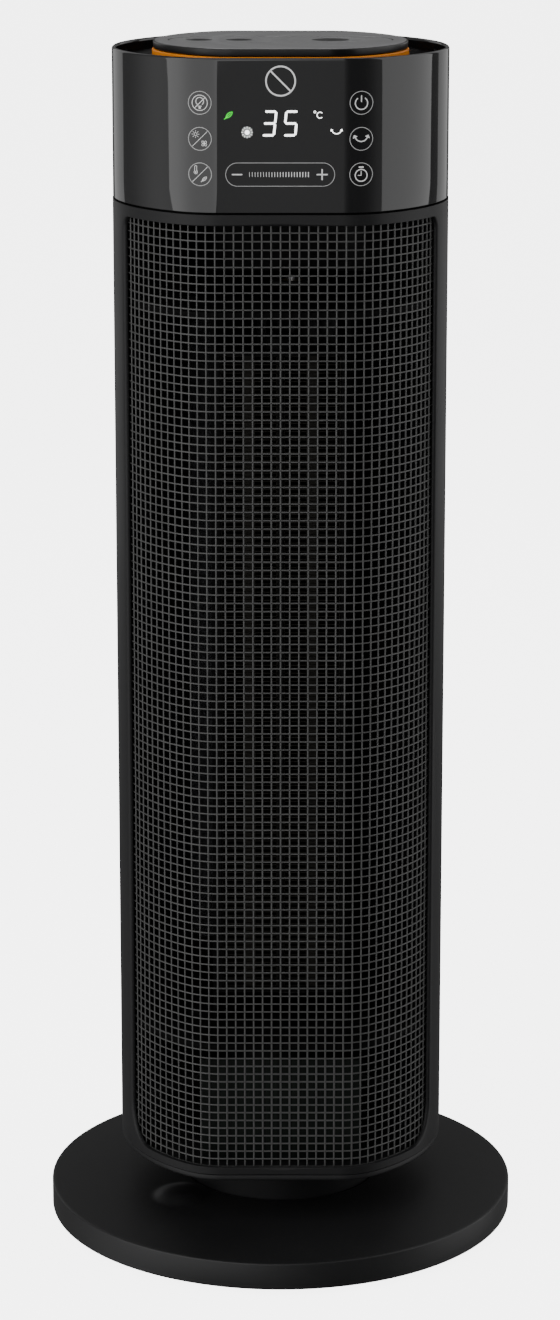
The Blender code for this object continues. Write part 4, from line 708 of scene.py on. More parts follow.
@dataclass(frozen=True)
class BoardLaminate(Finish):
    """A circuit board: solder mask over a checked pattern of copper tracks."""

    copper: Colour = (0.0060, 0.0090, 0.0070)

    def dress(self, graph: Graph, place: bpy.types.NodeSocket) -> dict[str, Any]:
        """Square cells as tracks, raised a little under the mask."""
        tones = (("Color1", 0.0), ("Color2", 1.0), ("Mortar", 0.2))
        greys = {name: (tone, tone, tone, 1.0) for name, tone in tones}
        cells = graph.add("TexBrick", {"Vector": place, "Scale": 260.0, "Mortar Size": 0.03} | greys).outputs
        return {"Base Color": graph.mixed(cells["Color"], self.colour, self.copper),
                "Normal": graph.bump(cells["Fac"], 0.00003)}


@dataclass(frozen=True)
class FilterCloth(Finish):
    """A woven filter screen: two crossing sets of threads."""

    threads: float = 5200.0

    def dress(self, graph: Graph, place: bpy.types.NodeSocket) -> dict[str, Any]:
        """The weave: the product of a sine across and a sine up, so that threads pass over and under."""
        axes = graph.add("SeparateXYZ", {0: place}).outputs
        across, up = (graph.maths("SINE", graph.maths("MULTIPLY", axes[k], self.threads)) for k in (0, 2))
        weave = graph.between(graph.maths("MULTIPLY", across, up), -1.0, 1.0)
        return {"Base Color": self.toned(graph, weave, 0.5, 1.5), "Normal": graph.bump(weave, 0.0002)}


@dataclass(frozen=True)
class LitMark(Finish):
    """A sign that glows, a little brighter in its middle: lit from behind on the display, painted light on
    printed signs.
    """

    power: float = 2.0

    def dress(self, graph: Graph, place: bpy.types.NodeSocket) -> dict[str, Any]:
        """A faintly uneven glow, which on printed signs is painted light."""
        glow = self.toned(graph, graph.noise(place, 260.0, 1.0), 0.82, 1.18)
        return {"Emission Color": glow, "Emission Strength": self.power}


HOUSING = MouldedPlastic("charcoal_plastic", "satin_black", (0.0095, 0.0095, 0.010), 0.46, specular=0.20)
BASE = MouldedPlastic("base_plastic", "satin_black", (0.0070, 0.0070, 0.0074), 0.42, specular=0.34, dust=0.10)
UNDERSIDE = MouldedPlastic("underside_plastic", "satin_black", (0.014, 0.014, 0.014), 0.60, grain=900.0)
GLOSS = PianoGloss("piano_black", "gloss_black", (0.006, 0.006, 0.0065), 0.035)
TRAY = MouldedPlastic("tray_plastic", "satin_black", (0.012, 0.012, 0.013), 0.35, grain=2200.0, depth=0.00002)
# The plate's sheet: its centre is that of the painted sheen's rings.
COVER_PAINTED_SHEEN = BrushedCoverWithPaintedSheen("brushed_grey_painted_sheen", "grey_top", (0.29, 0.29, 0.295), 0.38, metallic=0.55,
                     centre=(0.0300, 0.0, 0.0))
COVER_EDGE = MouldedPlastic("cover_edge", "gloss_black", (0.0060, 0.0060, 0.0062), 0.30, specular=0.30,
                            grain=2200.0, depth=0.00002, dust=0.03)
# The remote's keys: dark, with the same painted sheen in their colour.
KEY_PAINTED_SHEEN = BrushedCoverWithPaintedSheen("key_grey_painted_sheen", "gloss_black", (0.012, 0.012, 0.0125), 0.32, metallic=0.1, lines=3200.0)
ORANGE = MouldedPlastic("orange_plastic", "orange_accent", (1.0, 0.27, 0.0), 0.42, specular=0.2, grain=2200.0,
                        depth=0.00002, dust=0.03)
WIRE = CoatedWire("coated_wire", "grille_mesh", (0.066, 0.066, 0.065), 0.42, metallic=0.30, specular=0.40)
INTAKE = MouldedPlastic("intake_plastic", "satin_black", (0.018, 0.018, 0.019), 0.50)
FILTER = FilterCloth("filter_cloth", "filter", (0.035, 0.035, 0.038), 0.9)
RUBBER = MouldedPlastic("foot_rubber", "rubber", (0.014, 0.014, 0.014), 0.82, grain=700.0, depth=0.00008)
# Black plastic inside the tower, made darker still as painted shade of the shaded inside.
INNER_PAINTED_SHADE = MouldedPlastic("inner_black_painted_shade", "inner_plastic", (0.0030, 0.0030, 0.0030), 0.70, specular=0.08,
                       dust=0.0)
NATURAL = MouldedPlastic("natural_acetal", "inner_plastic", (0.42, 0.41, 0.37), 0.45, dust=0.0)
DARK = MouldedPlastic("dark_nylon", "dark_plastic", (0.018, 0.018, 0.018), 0.50, dust=0.05)
STEEL = TurnedMetal("zinc_plated_steel", "steel", (0.42, 0.42, 0.43), 0.34, metallic=1.0)
# Black-painted motor can; its dull near-black is also painted shade, so the can shows no glint inside the
# tower.
MOTOR_PAINTED_SHADE = TurnedMetal("black_motor_can_painted_shade", "steel", (0.012, 0.012, 0.012), 0.62, specular=0.12)
BRASS = TurnedMetal("sintered_brass", "brass", (0.60, 0.44, 0.20), 0.36, metallic=1.0)
# Aluminium fins coloured near black: painted shade of the tower's inside.
FINS_PAINTED_SHADE = TurnedMetal("heater_fins_painted_shade", "heater_aluminium", (0.012, 0.011, 0.009), 0.55, metallic=0.4, specular=0.2)
BOARD = BoardLaminate("board_laminate", "circuit_board", (0.0035, 0.0050, 0.0040), 0.50, specular=0.15)
SCREEN = Finish("display_film", "display_screen", (0.02, 0.02, 0.024), 0.2)
# Printed signs: their glow is painted light, standing for the light that the white print catches.
PRINT_PAINTED_GLOW = LitMark("panel_print_painted_glow", "display_screen", (0.50, 0.50, 0.50), 0.4, power=0.62)
FAINT_PRINT_PAINTED_GLOW = LitMark("panel_print_faint_painted_glow", "display_screen", (0.32, 0.32, 0.32), 0.4, power=0.50)
WHITE_LIGHT = LitMark("white_light", "display_screen", (0.85, 0.86, 0.85), 0.4, power=3.2)
GREEN_LIGHT = LitMark("green_light", "display_screen", (0.01, 0.62, 0.02), 0.4, power=1.0)


# Pieces


@dataclass
class Piece:
    """One visible piece: its surface, finish and body, and the CAD nodes that it stands for."""

    name: str
    surface: Surface
    finish: Finish
    body: str
    replaces: tuple[str, ...] = ()
    sharp: float = 35.0
    wall: float = 0.0
    bevel: float = 0.0
    holes: tuple["Surface", ...] = ()

    def make(self) -> bpy.types.Object:
        """Makes the object, closes its poles, turns its faces outwards, finishes it and puts it on its body.

        Returns:
            The object, at the origin, with its place in its mesh.
        """
        obj = mesh_object(self.name, self.surface)
        for hole in self.holes:
            drill(obj, hole)
        obj.data.shade_smooth()
        obj.data.set_sharp_from_angle(angle=math.radians(self.sharp))
        if self.wall:
            solid = obj.modifiers.new("wall", "SOLIDIFY")
            solid.thickness = self.wall
            solid.offset = -1.0
            solid.use_even_offset = True
        if self.bevel:
            edge = obj.modifiers.new("edge", "BEVEL")
            edge.width = self.bevel
            edge.segments = 3
            edge.limit_method = "ANGLE"
            edge.angle_limit = math.radians(50)
            edge.harden_normals = True
        obj.data.materials.clear()
        obj.data.materials.append(self.finish.material())
        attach(obj, self.body)
        if self.replaces:
            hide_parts(*self.replaces)
        log.info("%s on %s: %d faces, %s", self.name, self.body, len(obj.data.polygons), self.finish.name)
        return obj


def mesh_object(name: str, surface: Surface) -> bpy.types.Object:
    """An object of a surface, with its doubles merged and its faces turned outwards.

    Args:
        name: the object's name.
        surface: its points and faces.

    Returns:
        The object, linked to the scene.
    """
    mesh = bpy.data.meshes.new(name)
    mesh.from_pydata(surface.points.tolist(), [], surface.faces.tolist())
    shape = bmesh.new()
    shape.from_mesh(mesh)
    bmesh.ops.remove_doubles(shape, verts=shape.verts, dist=1e-6)
    bmesh.ops.dissolve_degenerate(shape, edges=shape.edges, dist=1e-7)
    bmesh.ops.recalc_face_normals(shape, faces=shape.faces)
    shape.to_mesh(mesh)
    shape.free()
    obj = bpy.data.objects.new(name, mesh)
    bpy.context.scene.collection.objects.link(obj)
    return obj


def drill(obj: bpy.types.Object, hole: Surface) -> None:
    """Cuts a closed shape out of an object and keeps the result in its mesh.

    Args:
        obj: what is cut.
        hole: the shape that is taken away.
    """
    cutter = mesh_object("cutter", hole)
    cut = obj.modifiers.new("cut", "BOOLEAN")
    cut.operation = "DIFFERENCE"
    cut.solver = "EXACT"
    cut.object = cutter
    done = bpy.data.meshes.new_from_object(obj.evaluated_get(bpy.context.evaluated_depsgraph_get()))
    obj.modifiers.clear()
    done.name = obj.name
    obj.data = done
    bpy.data.objects.remove(cutter)


@dataclass(frozen=True)
class Span:
    """The lowest and highest corner of a CAD node."""

    low: Array
    high: Array

    @classmethod
    def of(cls, node: str) -> "Span":
        """The corners of the node of that name."""
        low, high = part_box(node)
        return cls(np.array(low), np.array(high))

    @property
    def centre(self) -> Array:
        """The middle of the box."""
        return (self.low + self.high) / 2

    @property
    def radius(self) -> float:
        """Half the box's width across."""
        return float(self.high[0] - self.low[0]) / 2

    @property
    def levels(self) -> tuple[float, float]:
        """The heights of the box's bottom and top."""
        return float(self.low[2]), float(self.high[2])


def body_section() -> Section:
    """The tower's outline in plan, from the front housing and the design's blend radius."""
    front = Span.of("front_housing")
    return Section(float(front.high[0]), float(-front.low[1]), 0.0320)


def plate_section() -> Section:
    """The top plate's outline in plan."""
    plate = Span.of("top_plate")
    return Section(float(plate.high[0]), float(plate.high[1]), 0.0240)


def remote_outline() -> Pill:
    """The remote control's outline in plan."""
    remote = Span.of("remote_base")
    return Pill(2 * remote.radius, float(remote.high[1] - remote.low[1]))


# Base


@dataclass
class BaseStand:
    """The round base: a crowned moulding with a low dome over the tip-over switch, its floor and its feet."""

    crown: float = 0.0050
    crown_power: float = 1.6
    edge_top: float = 0.0170
    neck_gap: float = 0.0006
    glide_lap: float = 0.0055
    hub_wall: float = 0.0066
    wall: float = 0.0025
    edge_rounding: float = 0.0009
    dome_radius: float = 0.0165
    dome_rise: float = 0.0034
    plunger_hole: float = 0.0043
    gland_hole: float = 0.0054
    post_hole: float = 0.0090
    rings: tuple[float, ...] = (0.086, 0.064, 0.040)
    feet: int = 5
    steps: int = 360

    def __post_init__(self) -> None:
        """Reads the base's own sizes from the frame."""
        cover, glide = Span.of("base_cover"), Span.of("glide_ring")
        self.radius, self.bottom = float(cover.high[0]), cover.levels[0]
        self.neck = glide.radius - self.glide_lap + self.neck_gap
        self.hub_bottom = glide.levels[1] + 0.0003
        self.dome_centre = Span.of("tip_switch_can").centre

    def top(self, radius: Array | float, drop: float = 0.0) -> Array:
        """Height of the crowned top: it falls from the neck with a power of the share of the way out."""
        share = np.clip((radius - self.neck) / (self.radius - self.neck), 0.0, 1.0)
        return self.edge_top + self.crown * (1 - share**self.crown_power) - drop

    def cover(self) -> Surface:
        """The moulding: a closed profile turned about the axis, with the dome added to its crown.

        Returns:
            A surface of profile place and turn. Over the dome's circle its top is raised by
            rise * (1 - d^3)^2, where d is the distance from the dome's middle over the dome's radius.
        """
        hub, inner = self.neck + self.hub_wall, self.radius - self.wall
        out = np.linspace(self.neck + 0.0006, self.radius - self.edge_rounding, 56)
        back = np.linspace(inner, hub, 8)
        profile = filleted([
            (self.neck, self.hub_bottom, 0.0), (self.neck, float(self.top(self.neck)) - 0.0004, 0.0),
            *((r, z, 0.0) for r, z in zip(out, self.top(out))),
            (self.radius, self.edge_top - 0.0002, self.edge_rounding), (self.radius, self.bottom, 0.0006),
            (inner, self.bottom, 0.0003), *((r, z, 0.0) for r, z in zip(back, self.top(back, self.wall))),
            (hub, self.hub_bottom, 0.0006)], 5)
        skin = turned(profile, steps=self.steps)
        points = skin.points.reshape(len(profile), self.steps, 3)
        away = np.linalg.norm(points[..., :2] - self.dome_centre[:2], axis=-1) / self.dome_radius
        on_top = points[..., 2] > self.top(np.linalg.norm(points[..., :2], axis=-1)) - self.wall / 2
        points[..., 2] += np.where(on_top, self.dome_rise * np.maximum(1 - away**3, 0.0) ** 2, 0.0)
        return skin

    def gland(self) -> Surface:
        """The gland's end: a rounded bush along Y with a ring round its bore."""
        span = Span.of("cord_gland")
        back, front = float(span.high[1]), float(span.low[1])
        corners = [(0.0036, front, 0.0), (0.0051, front, 0.0), (0.0051, back - 0.0002, 0.0007),
                   (0.0044, back, 0.0004), (0.0036, back - 0.0006, 0.0004)]
        return laid(turned(filleted(corners), steps=48), 0.0, float(span.centre[2]))

    def floor(self) -> Surface:
        """The base plate, with stiffening rings pressed into its underside."""
        plate = Span.of("base_plate")
        low, high = plate.levels
        corners = [(self.post_hole, low, 0.0004), (self.post_hole, high, 0.0), (plate.radius, high, 0.0),
                   (plate.radius, low, 0.0006)]
        corners += [(ring + out, low + up, 0.0006) for ring in self.rings
                    for out, up in ((0.0024, 0.0), (0.0012, 0.0009), (-0.0012, 0.0009), (-0.0024, 0.0))]
        return turned(filleted(corners), steps=180)

    def foot(self, node: str) -> Surface:
        """A rubber foot with a shallow recess in its sole."""
        span = Span.of(node)
        radius, top = span.radius, span.levels[1]
        corners = [(0.0, 0.0005, 0.0), (radius * 0.55, 0.0005, 0.0003), (radius * 0.62, 0.0, 0.0003),
                   (radius - 0.0008, 0.0, 0.0006), (radius, 0.0010, 0.0006), (radius, top, 0.0),
                   (0.0, top, 0.0)]
        return turned(filleted(corners), span.centre, steps=48, wrap=False)

    def build(self) -> None:
        """Makes the base's pieces."""
        gland_level = float(Span.of("cord_gland").centre[2])
        gland_hole = laid(rod(self.gland_hole, -0.02, 0.02), self.radius, gland_level)
        plunger_hole = rod(self.plunger_hole, -0.01, 0.03, self.dome_centre, 40)
        Piece("base_moulding", self.cover(), BASE, "base", ("base_cover",), sharp=40,
              holes=(gland_hole,)).make()
        Piece("base_underside", self.floor(), UNDERSIDE, "base", ("base_plate",),
              holes=(plunger_hole,)).make()
        Piece("cord_outlet_bush", self.gland(), RUBBER, "base", ("cord_gland",)).make()
        for number in range(1, self.feet + 1):
            node = f"foot_{number}"
            Piece(f"rubber_{node}", self.foot(node), RUBBER, "base", (node,)).make()


# Tower


@dataclass
class SwivelNeck:
    """The neck that turns in the base, in one moulding with the floor plate under the tower."""

    fillet: float = 0.0030
    edge: float = 0.0009
    inset: float = 0.0002
    flange: float = 0.0030
    floor: float = 0.0027
    floor_gap: float = 0.0003
    post_hole: float = 0.0123
    retainer_laps: tuple[float, float] = (0.0055, 0.0080)

    def surface(self) -> Surface:
        """A skin of height and azimuth that passes from circles, on the neck, to the tower's section."""
        section, inset = body_section(), self.inset
        bottom, top = Span.of("tower_floor").levels
        under = top - self.flange
        radius, inner = (Span.of("neck_retainer").radius - lap for lap in self.retainer_laps)
        floor_low = Span.of("thrust_washer").levels[1] + self.floor_gap
        floor_high = floor_low + self.floor
        rows: list[Row] = [(Circle(radius), 0.0, 1.0, bottom)]
        rows += [(Circle(radius + self.fillet * along), 0.0, 1.0, under - self.fillet * across)
                 for across, along in quarter_round(7)]
        rows += [(section, inset + self.edge * across, 1.0, under + self.edge * along)
                 for across, along in quarter_round(7)]
        rows += [(section, inset, 1.0, top - 0.0002), (section, inset + 0.0002, 1.0, top)]
        rows += [(Circle(reach), 0.0, 1.0, height) for reach, height in (
            (inner, top), (inner, floor_high), (self.post_hole, floor_high), (self.post_hole, floor_low),
            (inner, floor_low), (inner, bottom))]
        return loft(rows, section.azimuths())

    def build(self) -> None:
        """Makes the neck."""
        Piece("swivel_neck", self.surface(), HOUSING, "tower", ("tower_floor",), sharp=50).make()


@dataclass
class TowerShell:
    """The two halves of the housing: the frame round the grille and the rear shell with its two openings."""

    split: float = math.radians(95)
    window: float = math.radians(67)
    sill: float = 0.0041
    lintel: float = 0.0056
    lower_corner: float = 0.0195
    upper_corner: float = 0.0070
    wall: float = 0.0020
    lip: float = 0.0016
    seam: float = 0.0004
    rear_half_width: float = 0.0520
    rear_corner: float = 0.0072
    rear_gap: float = 0.0003
    intake_fit: float = 0.0004
    step_drop: float = 0.0200
    switch_fit: float = 0.0003
    switch_corner: float = 0.0006

    def __post_init__(self) -> None:
        """Reads the housing's place from the frame."""
        self.section = body_section()
        self.low, self.high = Span.of("front_housing").levels

    def front(self) -> Surface:
        """The front frame: a ring between the window's loop and the housing's edges."""
        counts = (130, 40, 10)
        side, edge = self.window * self.section.radius, self.split * self.section.radius
        hole = rounded_loop((-side, self.low + self.sill), (side, self.high - self.lintel),
                            (self.lower_corner, self.upper_corner), counts)
        border = rounded_loop((-edge, self.low), (edge, self.high), (0.0, 0.0), counts)
        return CurvedPanel(self.section, 0.0, self.wall).ring(hole, border, (self.lip, self.seam), 12)

    def rear(self) -> Surface:
        """The rear shell's outer skin: a ring round the air intake on one round the main switch."""
        radius = self.section.radius
        panel = CurvedPanel(self.section, 0.0, self.wall)
        middle, reach = math.pi * radius, (math.pi - self.split) * radius - self.rear_gap
        intake, switch = Span.of("rear_cover").levels, Span.of("switch_body")
        step = intake[0] - self.intake_fit - self.step_drop

        def part(half: float, hole: tuple[float, float], fit: float, corner: float,
                 border: tuple[float, float], steps: int) -> Surface:
            """The skin between one opening and its part of the shell's edges, each given by its levels."""
            counts = (64, 24, 8)
            return panel.skin(
                rounded_loop((middle - half, hole[0] - fit), (middle + half, hole[1] + fit),
                             (corner, corner), counts),
                rounded_loop((middle - reach, border[0]), (middle + reach, border[1]), (0.0, 0.0), counts),
                steps)

        side = math.asin(self.rear_half_width / radius) * radius
        return part(side, intake, self.intake_fit, self.rear_corner, (step, self.high), 14) + part(
            switch.radius + self.switch_fit, switch.levels, self.switch_fit, self.switch_corner,
            (self.low, step), 26)

    def build(self) -> None:
        """Makes both halves."""
        Piece("front_frame", self.front(), HOUSING, "tower", ("front_housing",)).make()
        Piece("rear_shell", self.rear(), HOUSING, "tower", ("rear_housing",), wall=self.wall,
              bevel=0.0005).make()


@dataclass
class WireGrille:
    """The mesh behind the window: upright and level wires welded into one sheet that follows the section."""

    across_pitch: float = 0.00459
    up_pitch: float = 0.00422
    wire: float = 0.00045
    setback: float = 0.0026
    sides: int = 6
    level_steps: int = 66

    def wires(self) -> Surface:
        """All the wires, as tubes.

        Returns:
            Upright tubes at equal distances along the section, and level tubes that follow it. A tube's skin
            is its line plus the wire's radius times the cosine and sine of its own turn, outwards and across.
        """
        section = body_section()
        span = Span.of("front_grille")
        edge = math.atan2(float(span.high[0]), float(-span.high[1]))
        fine = np.linspace(-edge, edge, 2001)
        reach = section.reach(fine, self.setback + self.wire)
        line = np.stack([reach * np.sin(fine), -reach * np.cos(fine)], axis=1)
        run = np.concatenate([[0.0], np.cumsum(np.linalg.norm(np.diff(line, axis=0), axis=1))])
        run -= run[-1] / 2
        count = int((run[-1] - self.wire) / self.across_pitch)
        stops = np.arange(-count, count + 1) * self.across_pitch
        low, high = span.levels
        rows = int((high - low - 2 * self.wire) / self.up_pitch)
        levels = (low + high) / 2 + (np.arange(rows + 1) - rows / 2) * self.up_pitch
        turn = np.linspace(0.0, FULL_TURN, self.sides, endpoint=False) + np.pi / self.sides
        outwards, sideways = np.cos(turn)[:, None], np.sin(turn)[:, None]

        def on_line(distance: Array) -> Array:
            """Places along the line at distances from its middle."""
            return np.stack([np.interp(distance, run, line[:, k]) for k in (0, 1)], axis=-1)

        def at(distance: Array) -> tuple[Array, Array]:
            """Places along the line and outward directions there."""
            along = on_line(distance + 1e-4) - on_line(distance - 1e-4)
            along /= np.linalg.norm(along, axis=-1, keepdims=True)
            return on_line(distance)[:, None], np.stack([along[..., 1], -along[..., 0]], axis=-1)[:, None]

        place, outward = at(stops)
        across = np.stack([-outward[..., 1], outward[..., 0]], axis=-1)
        ring = place + self.wire * (outward * outwards + across * sideways)
        upright = raised(ring[:, None], np.array([low, (low + high) / 2, high])[:, None])
        place, outward = at(np.linspace(run[0], run[-1], self.level_steps + 1))
        level = raised((place + self.wire * outward * outwards)[None],
                       levels[:, None, None] + self.wire * sideways[:, 0])
        return tubes(upright) + tubes(level)

    def build(self) -> None:
        """Makes the mesh."""
        Piece("wire_grille", self.wires(), WIRE, "tower", ("front_grille",), sharp=70).make()


@dataclass
class RearIntake:
    """The lift-off cover over the air intake, with its filter behind it."""

    rim: float = 0.0060
    corner: float = 0.0068
    hole_corner: float = 0.0025
    inner_corner: float = 0.0060
    inset: float = 0.0002
    wall: float = 0.0020
    slat_pitch: float = 0.0062
    slat: float = 0.0030
    slat_depth: tuple[float, float] = (0.0002, 0.0014)
    ribs: int = 4
    rib: float = 0.0030
    rib_depth: tuple[float, float] = (0.0009, 0.0019)
    lap: float = 0.0010
    soft: float = 0.0005
    seat: float = 0.0022
    seat_lap: float = 0.0020
    filter_inset: float = 0.0026
    filter_depth: float = 0.0028

    def __post_init__(self) -> None:
        """Reads the cover's place from the frame."""
        self.section = body_section()
        span = Span.of("rear_cover")
        half = math.asin(float(span.high[0]) / self.section.radius) * self.section.radius
        middle = math.pi * self.section.radius
        self.low = np.array([middle - half, span.levels[0]])
        self.high = np.array([middle + half, span.levels[1]])

    def outline(self, inset: float, corner: float, counts: tuple[int, int, int]) -> Array:
        """The cover's outline drawn in by an inset, laid out flat."""
        return rounded_loop(self.low + inset, self.high - inset, (corner, corner), counts)

    def bars(self, low: Array, high: Array, depth: tuple[float, float], steps: int) -> Surface:
        """Curved bars on the section between (distance round, height) corners, from one depth to another.

        Args:
            low: lowest corner of each bar.
            high: highest corner of each bar.
            depth: how far below the cover's face the bars start and end.
            steps: pieces along each bar.

        Returns:
            The bars, each a closed tube of a rounded four-sided section.
        """
        (front, back), soft = depth, self.soft
        top = np.array([1.0, 1.0, 0.0, 0.0, 0.0, 1.0])
        lift = np.array([0.0, -soft, soft, 0.0, 0.0, 0.0])
        deep = np.array([front + soft, front, front, front + soft, back, back])
        x = low[:, None, 0] + (high - low)[:, None, 0] * np.linspace(0.0, 1.0, steps + 1)
        z = low[:, None, 1] + (high - low)[:, None, 1] * top + lift
        flat = np.stack(np.broadcast_arrays(x[:, :, None], z[:, None, :]), axis=-1)
        return tubes(CurvedPanel(self.section, self.inset, self.wall).place(flat, deep))

    def cover(self) -> Surface:
        """The cover: its frame, level slats and upright ribs behind them."""
        counts = (48, 24, 8)
        border = self.outline(0.0, self.corner, counts)
        hole = self.outline(self.rim, self.hole_corner, counts)
        rim = CurvedPanel(self.section, self.inset, self.wall).ring(hole, border, (0.0007, 0.0005), 4)
        low, high = self.low + self.rim - self.lap, self.high - self.rim + self.lap
        count = int((high[1] - low[1]) / self.slat_pitch)
        pitch = (high[1] - low[1]) / count
        rise = low[1] + pitch * (np.arange(count) + 0.5) - self.slat / 2
        slats = self.bars(np.stack([np.full(count, low[0]), rise], axis=1),
                          np.stack([np.full(count, high[0]), rise + self.slat], axis=1), self.slat_depth, 36)
        stops = np.linspace(low[0], high[0], self.ribs + 2)[1:-1] - self.rib / 2
        ribs = self.bars(np.stack([stops, np.full(self.ribs, low[1])], axis=1),
                         np.stack([stops + self.rib, np.full(self.ribs, high[1])], axis=1), self.rib_depth, 4)
        return joined([rim, slats, ribs])

    def seat_ring(self) -> Surface:
        """The ledge that the cover rests on: a band fused to the rear shell and a thinner one inside it."""
        hole, edge, root, rim = (self.outline(inset, self.inner_corner, (40, 20, 6))
                                 for inset in (self.seat, -0.0006, -0.0005, -self.seat_lap))
        ledge = CurvedPanel(self.section, self.wall + 0.0003, 0.0003).ring(hole, edge, (0.0, 0.0), 2)
        return ledge + CurvedPanel(self.section, self.wall - 0.0001, 0.0007).ring(root, rim, (0.0, 0.0), 2)

    def screen(self) -> Surface:
        """The filter: a thin sheet that follows the section between two depths."""
        border = self.outline(self.filter_inset, self.inner_corner, (40, 20, 4))
        centre = border.mean(axis=0)
        share = np.concatenate([np.linspace(0.0, 1.0, 15), np.linspace(1.0, 0.0, 15)])[:, None, None]
        depth = np.repeat([0.0, 0.0006], 15)[:, None]
        panel = CurvedPanel(self.section, self.filter_depth, 0.0008)
        return Surface.grid(panel.place(centre + (border - centre) * share, depth), wrap_columns=True)

    def build(self) -> None:
        """Makes the seat, the cover and the filter."""
        Piece("intake_cover", self.cover(), INTAKE, "rear_cover", ("rear_cover",)).make()
        Piece("intake_seat", self.seat_ring(), HOUSING, "tower", ("rear_housing",)).make()
        Piece("intake_filter", self.screen(), FILTER, "rear_cover", ("filter_screen",)).make()


@dataclass
class MainSwitch:
    """The rocker switch low on the back, in its bezel."""

    rim: float = 0.0020
    rounding: float = 0.0012
    inner_rounding: float = 0.0008
    soft: float = 0.0004
    well: float = 0.0085

    def build(self) -> None:
        """Makes the bezel."""
        span = Span.of("switch_body")
        face, back, centre = float(span.high[1]), float(span.low[1]), span.centre
        half = np.array([span.radius, (span.levels[1] - span.levels[0]) / 2])

        def loop(inset: float, rounding: float, y: float) -> Array:
            """One upright loop of the bezel."""
            flat = rounded_loop(inset - half, half - inset, (rounding, rounding), (8, 8, 6))
            return np.stack([flat[:, 0] + centre[0], np.full(len(flat), y), flat[:, 1] + centre[2]], axis=1)

        edge, inner = self.rounding, self.inner_rounding
        rows = [loop(*row) for row in (
            (0.0, edge, back), (0.0, edge, face - self.soft), (self.soft, edge, face),
            (self.rim - self.soft, inner, face), (self.rim, inner, face - self.soft),
            (self.rim, inner, face - self.well), (half[0] - 0.0001, 0.0, face - self.well))]
        rear, floor = (np.repeat(row.mean(axis=0)[None], len(row), axis=0) for row in (rows[0], rows[-1]))
        skin = Surface.grid(np.stack([rear, *rows, floor]), wrap_columns=True)
        Piece("switch_bezel", skin, DARK, "tower", ("switch_body",)).make()


# Head


class Sign(Enum):
    """The signs on the control panel."""

    KEEP_CLEAR = auto()
    LAMP_OFF = auto()
    HEAT_OR_FAN = auto()
    WARM_OR_SAVE = auto()
    POWER = auto()
    SWING = auto()
    TIMER = auto()
    SUN = auto()
    SMALL_SWING = auto()
    LEAF = auto()
    DEGREES = auto()
    SLIDER = auto()
    SCALE = auto()


@dataclass(frozen=True)
class Stroke:
    """A line of one width with round ends, in millimetres."""

    path: Array
    width: float
    closed: bool = False

    def moved(self, x: float, z: float, scale: float = 1.0, turn: float = 0.0) -> "Stroke":
        """The stroke scaled, then turned, then shifted."""
        c, s = math.cos(math.radians(turn)), math.sin(math.radians(turn))
        path = self.path * scale @ np.array([[c, s], [-s, c]]) + (x, z)
        return Stroke(path, self.width * scale, self.closed)

    def ribbon(self) -> tuple[Array, Array]:
        """Left and right edges of the stroke: its line plus and minus half its width, square to it."""
        path, half = self.path, self.width / 2
        ahead, behind = np.roll(path, -1, axis=0), np.roll(path, 1, axis=0)
        along = ahead - behind if self.closed else np.gradient(path, axis=0)
        along /= np.linalg.norm(along, axis=1, keepdims=True)
        reach = np.full(len(path), half)
        if not self.closed:
            cap = np.linspace(0.0, np.pi / 2, 5)
            before = path[0] - along[0] * half * np.cos(cap[:-1])[:, None]
            after = path[-1] + along[-1] * half * np.sin(cap[1:])[:, None]
            path = np.concatenate([before, path, after])
            reach = np.concatenate([np.sin(cap[:-1]) * half, reach, np.cos(cap[1:]) * half])
            along = np.concatenate([np.repeat(along[:1], 4, axis=0), along, np.repeat(along[-1:], 4, axis=0)])
        across = np.stack([-along[:, 1], along[:, 0]], axis=1) * reach[:, None]
        return path + across, path - across


def line(start: Sequence[float], end: Sequence[float], width: float) -> Stroke:
    """A straight stroke, in short pieces so that it can follow a curved panel."""
    count = max(2, int(math.dist(start, end) / 0.6) + 1)
    share = np.linspace(0.0, 1.0, count)[:, None]
    return Stroke(np.array(start) + (np.array(end) - np.array(start)) * share, width)


def arc(centre: Sequence[float], radius: float, start: float, end: float, width: float) -> Stroke:
    """A stroke along a circle between two angles in degrees from +X; 360 apart, it is a closed ring."""
    whole = abs(end - start) >= 360
    count = max(10, int(abs(end - start) * radius / 30))
    turn = np.radians(np.linspace(start, end, count + 1))[: -1 if whole else None]
    return Stroke(np.stack([centre[0] + radius * np.cos(turn), centre[1] + radius * np.sin(turn)], axis=1),
                  width, whole)


def ring(centre: Sequence[float], radius: float, width: float) -> Stroke:
    """A closed circle."""
    return arc(centre, radius, 0, 360, width)


def dot(centre: Sequence[float], radius: float) -> Stroke:
    """A filled disc."""
    return ring(centre, radius / 2, radius * 0.999)


def sun(centre: Sequence[float], radius: float, width: float, rays: int, filled: bool) -> list[Stroke]:
    """A disc or a ring with short rays round it."""
    middle = dot(centre, radius * 0.46) if filled else ring(centre, radius * 0.42, width)
    turns = [FULL_TURN * i / rays for i in range(rays)]
    tips = [np.array([math.cos(t), math.sin(t)]) * radius for t in turns]
    return [middle] + [line(tip * 0.72 + centre, tip + centre, width) for tip in tips]


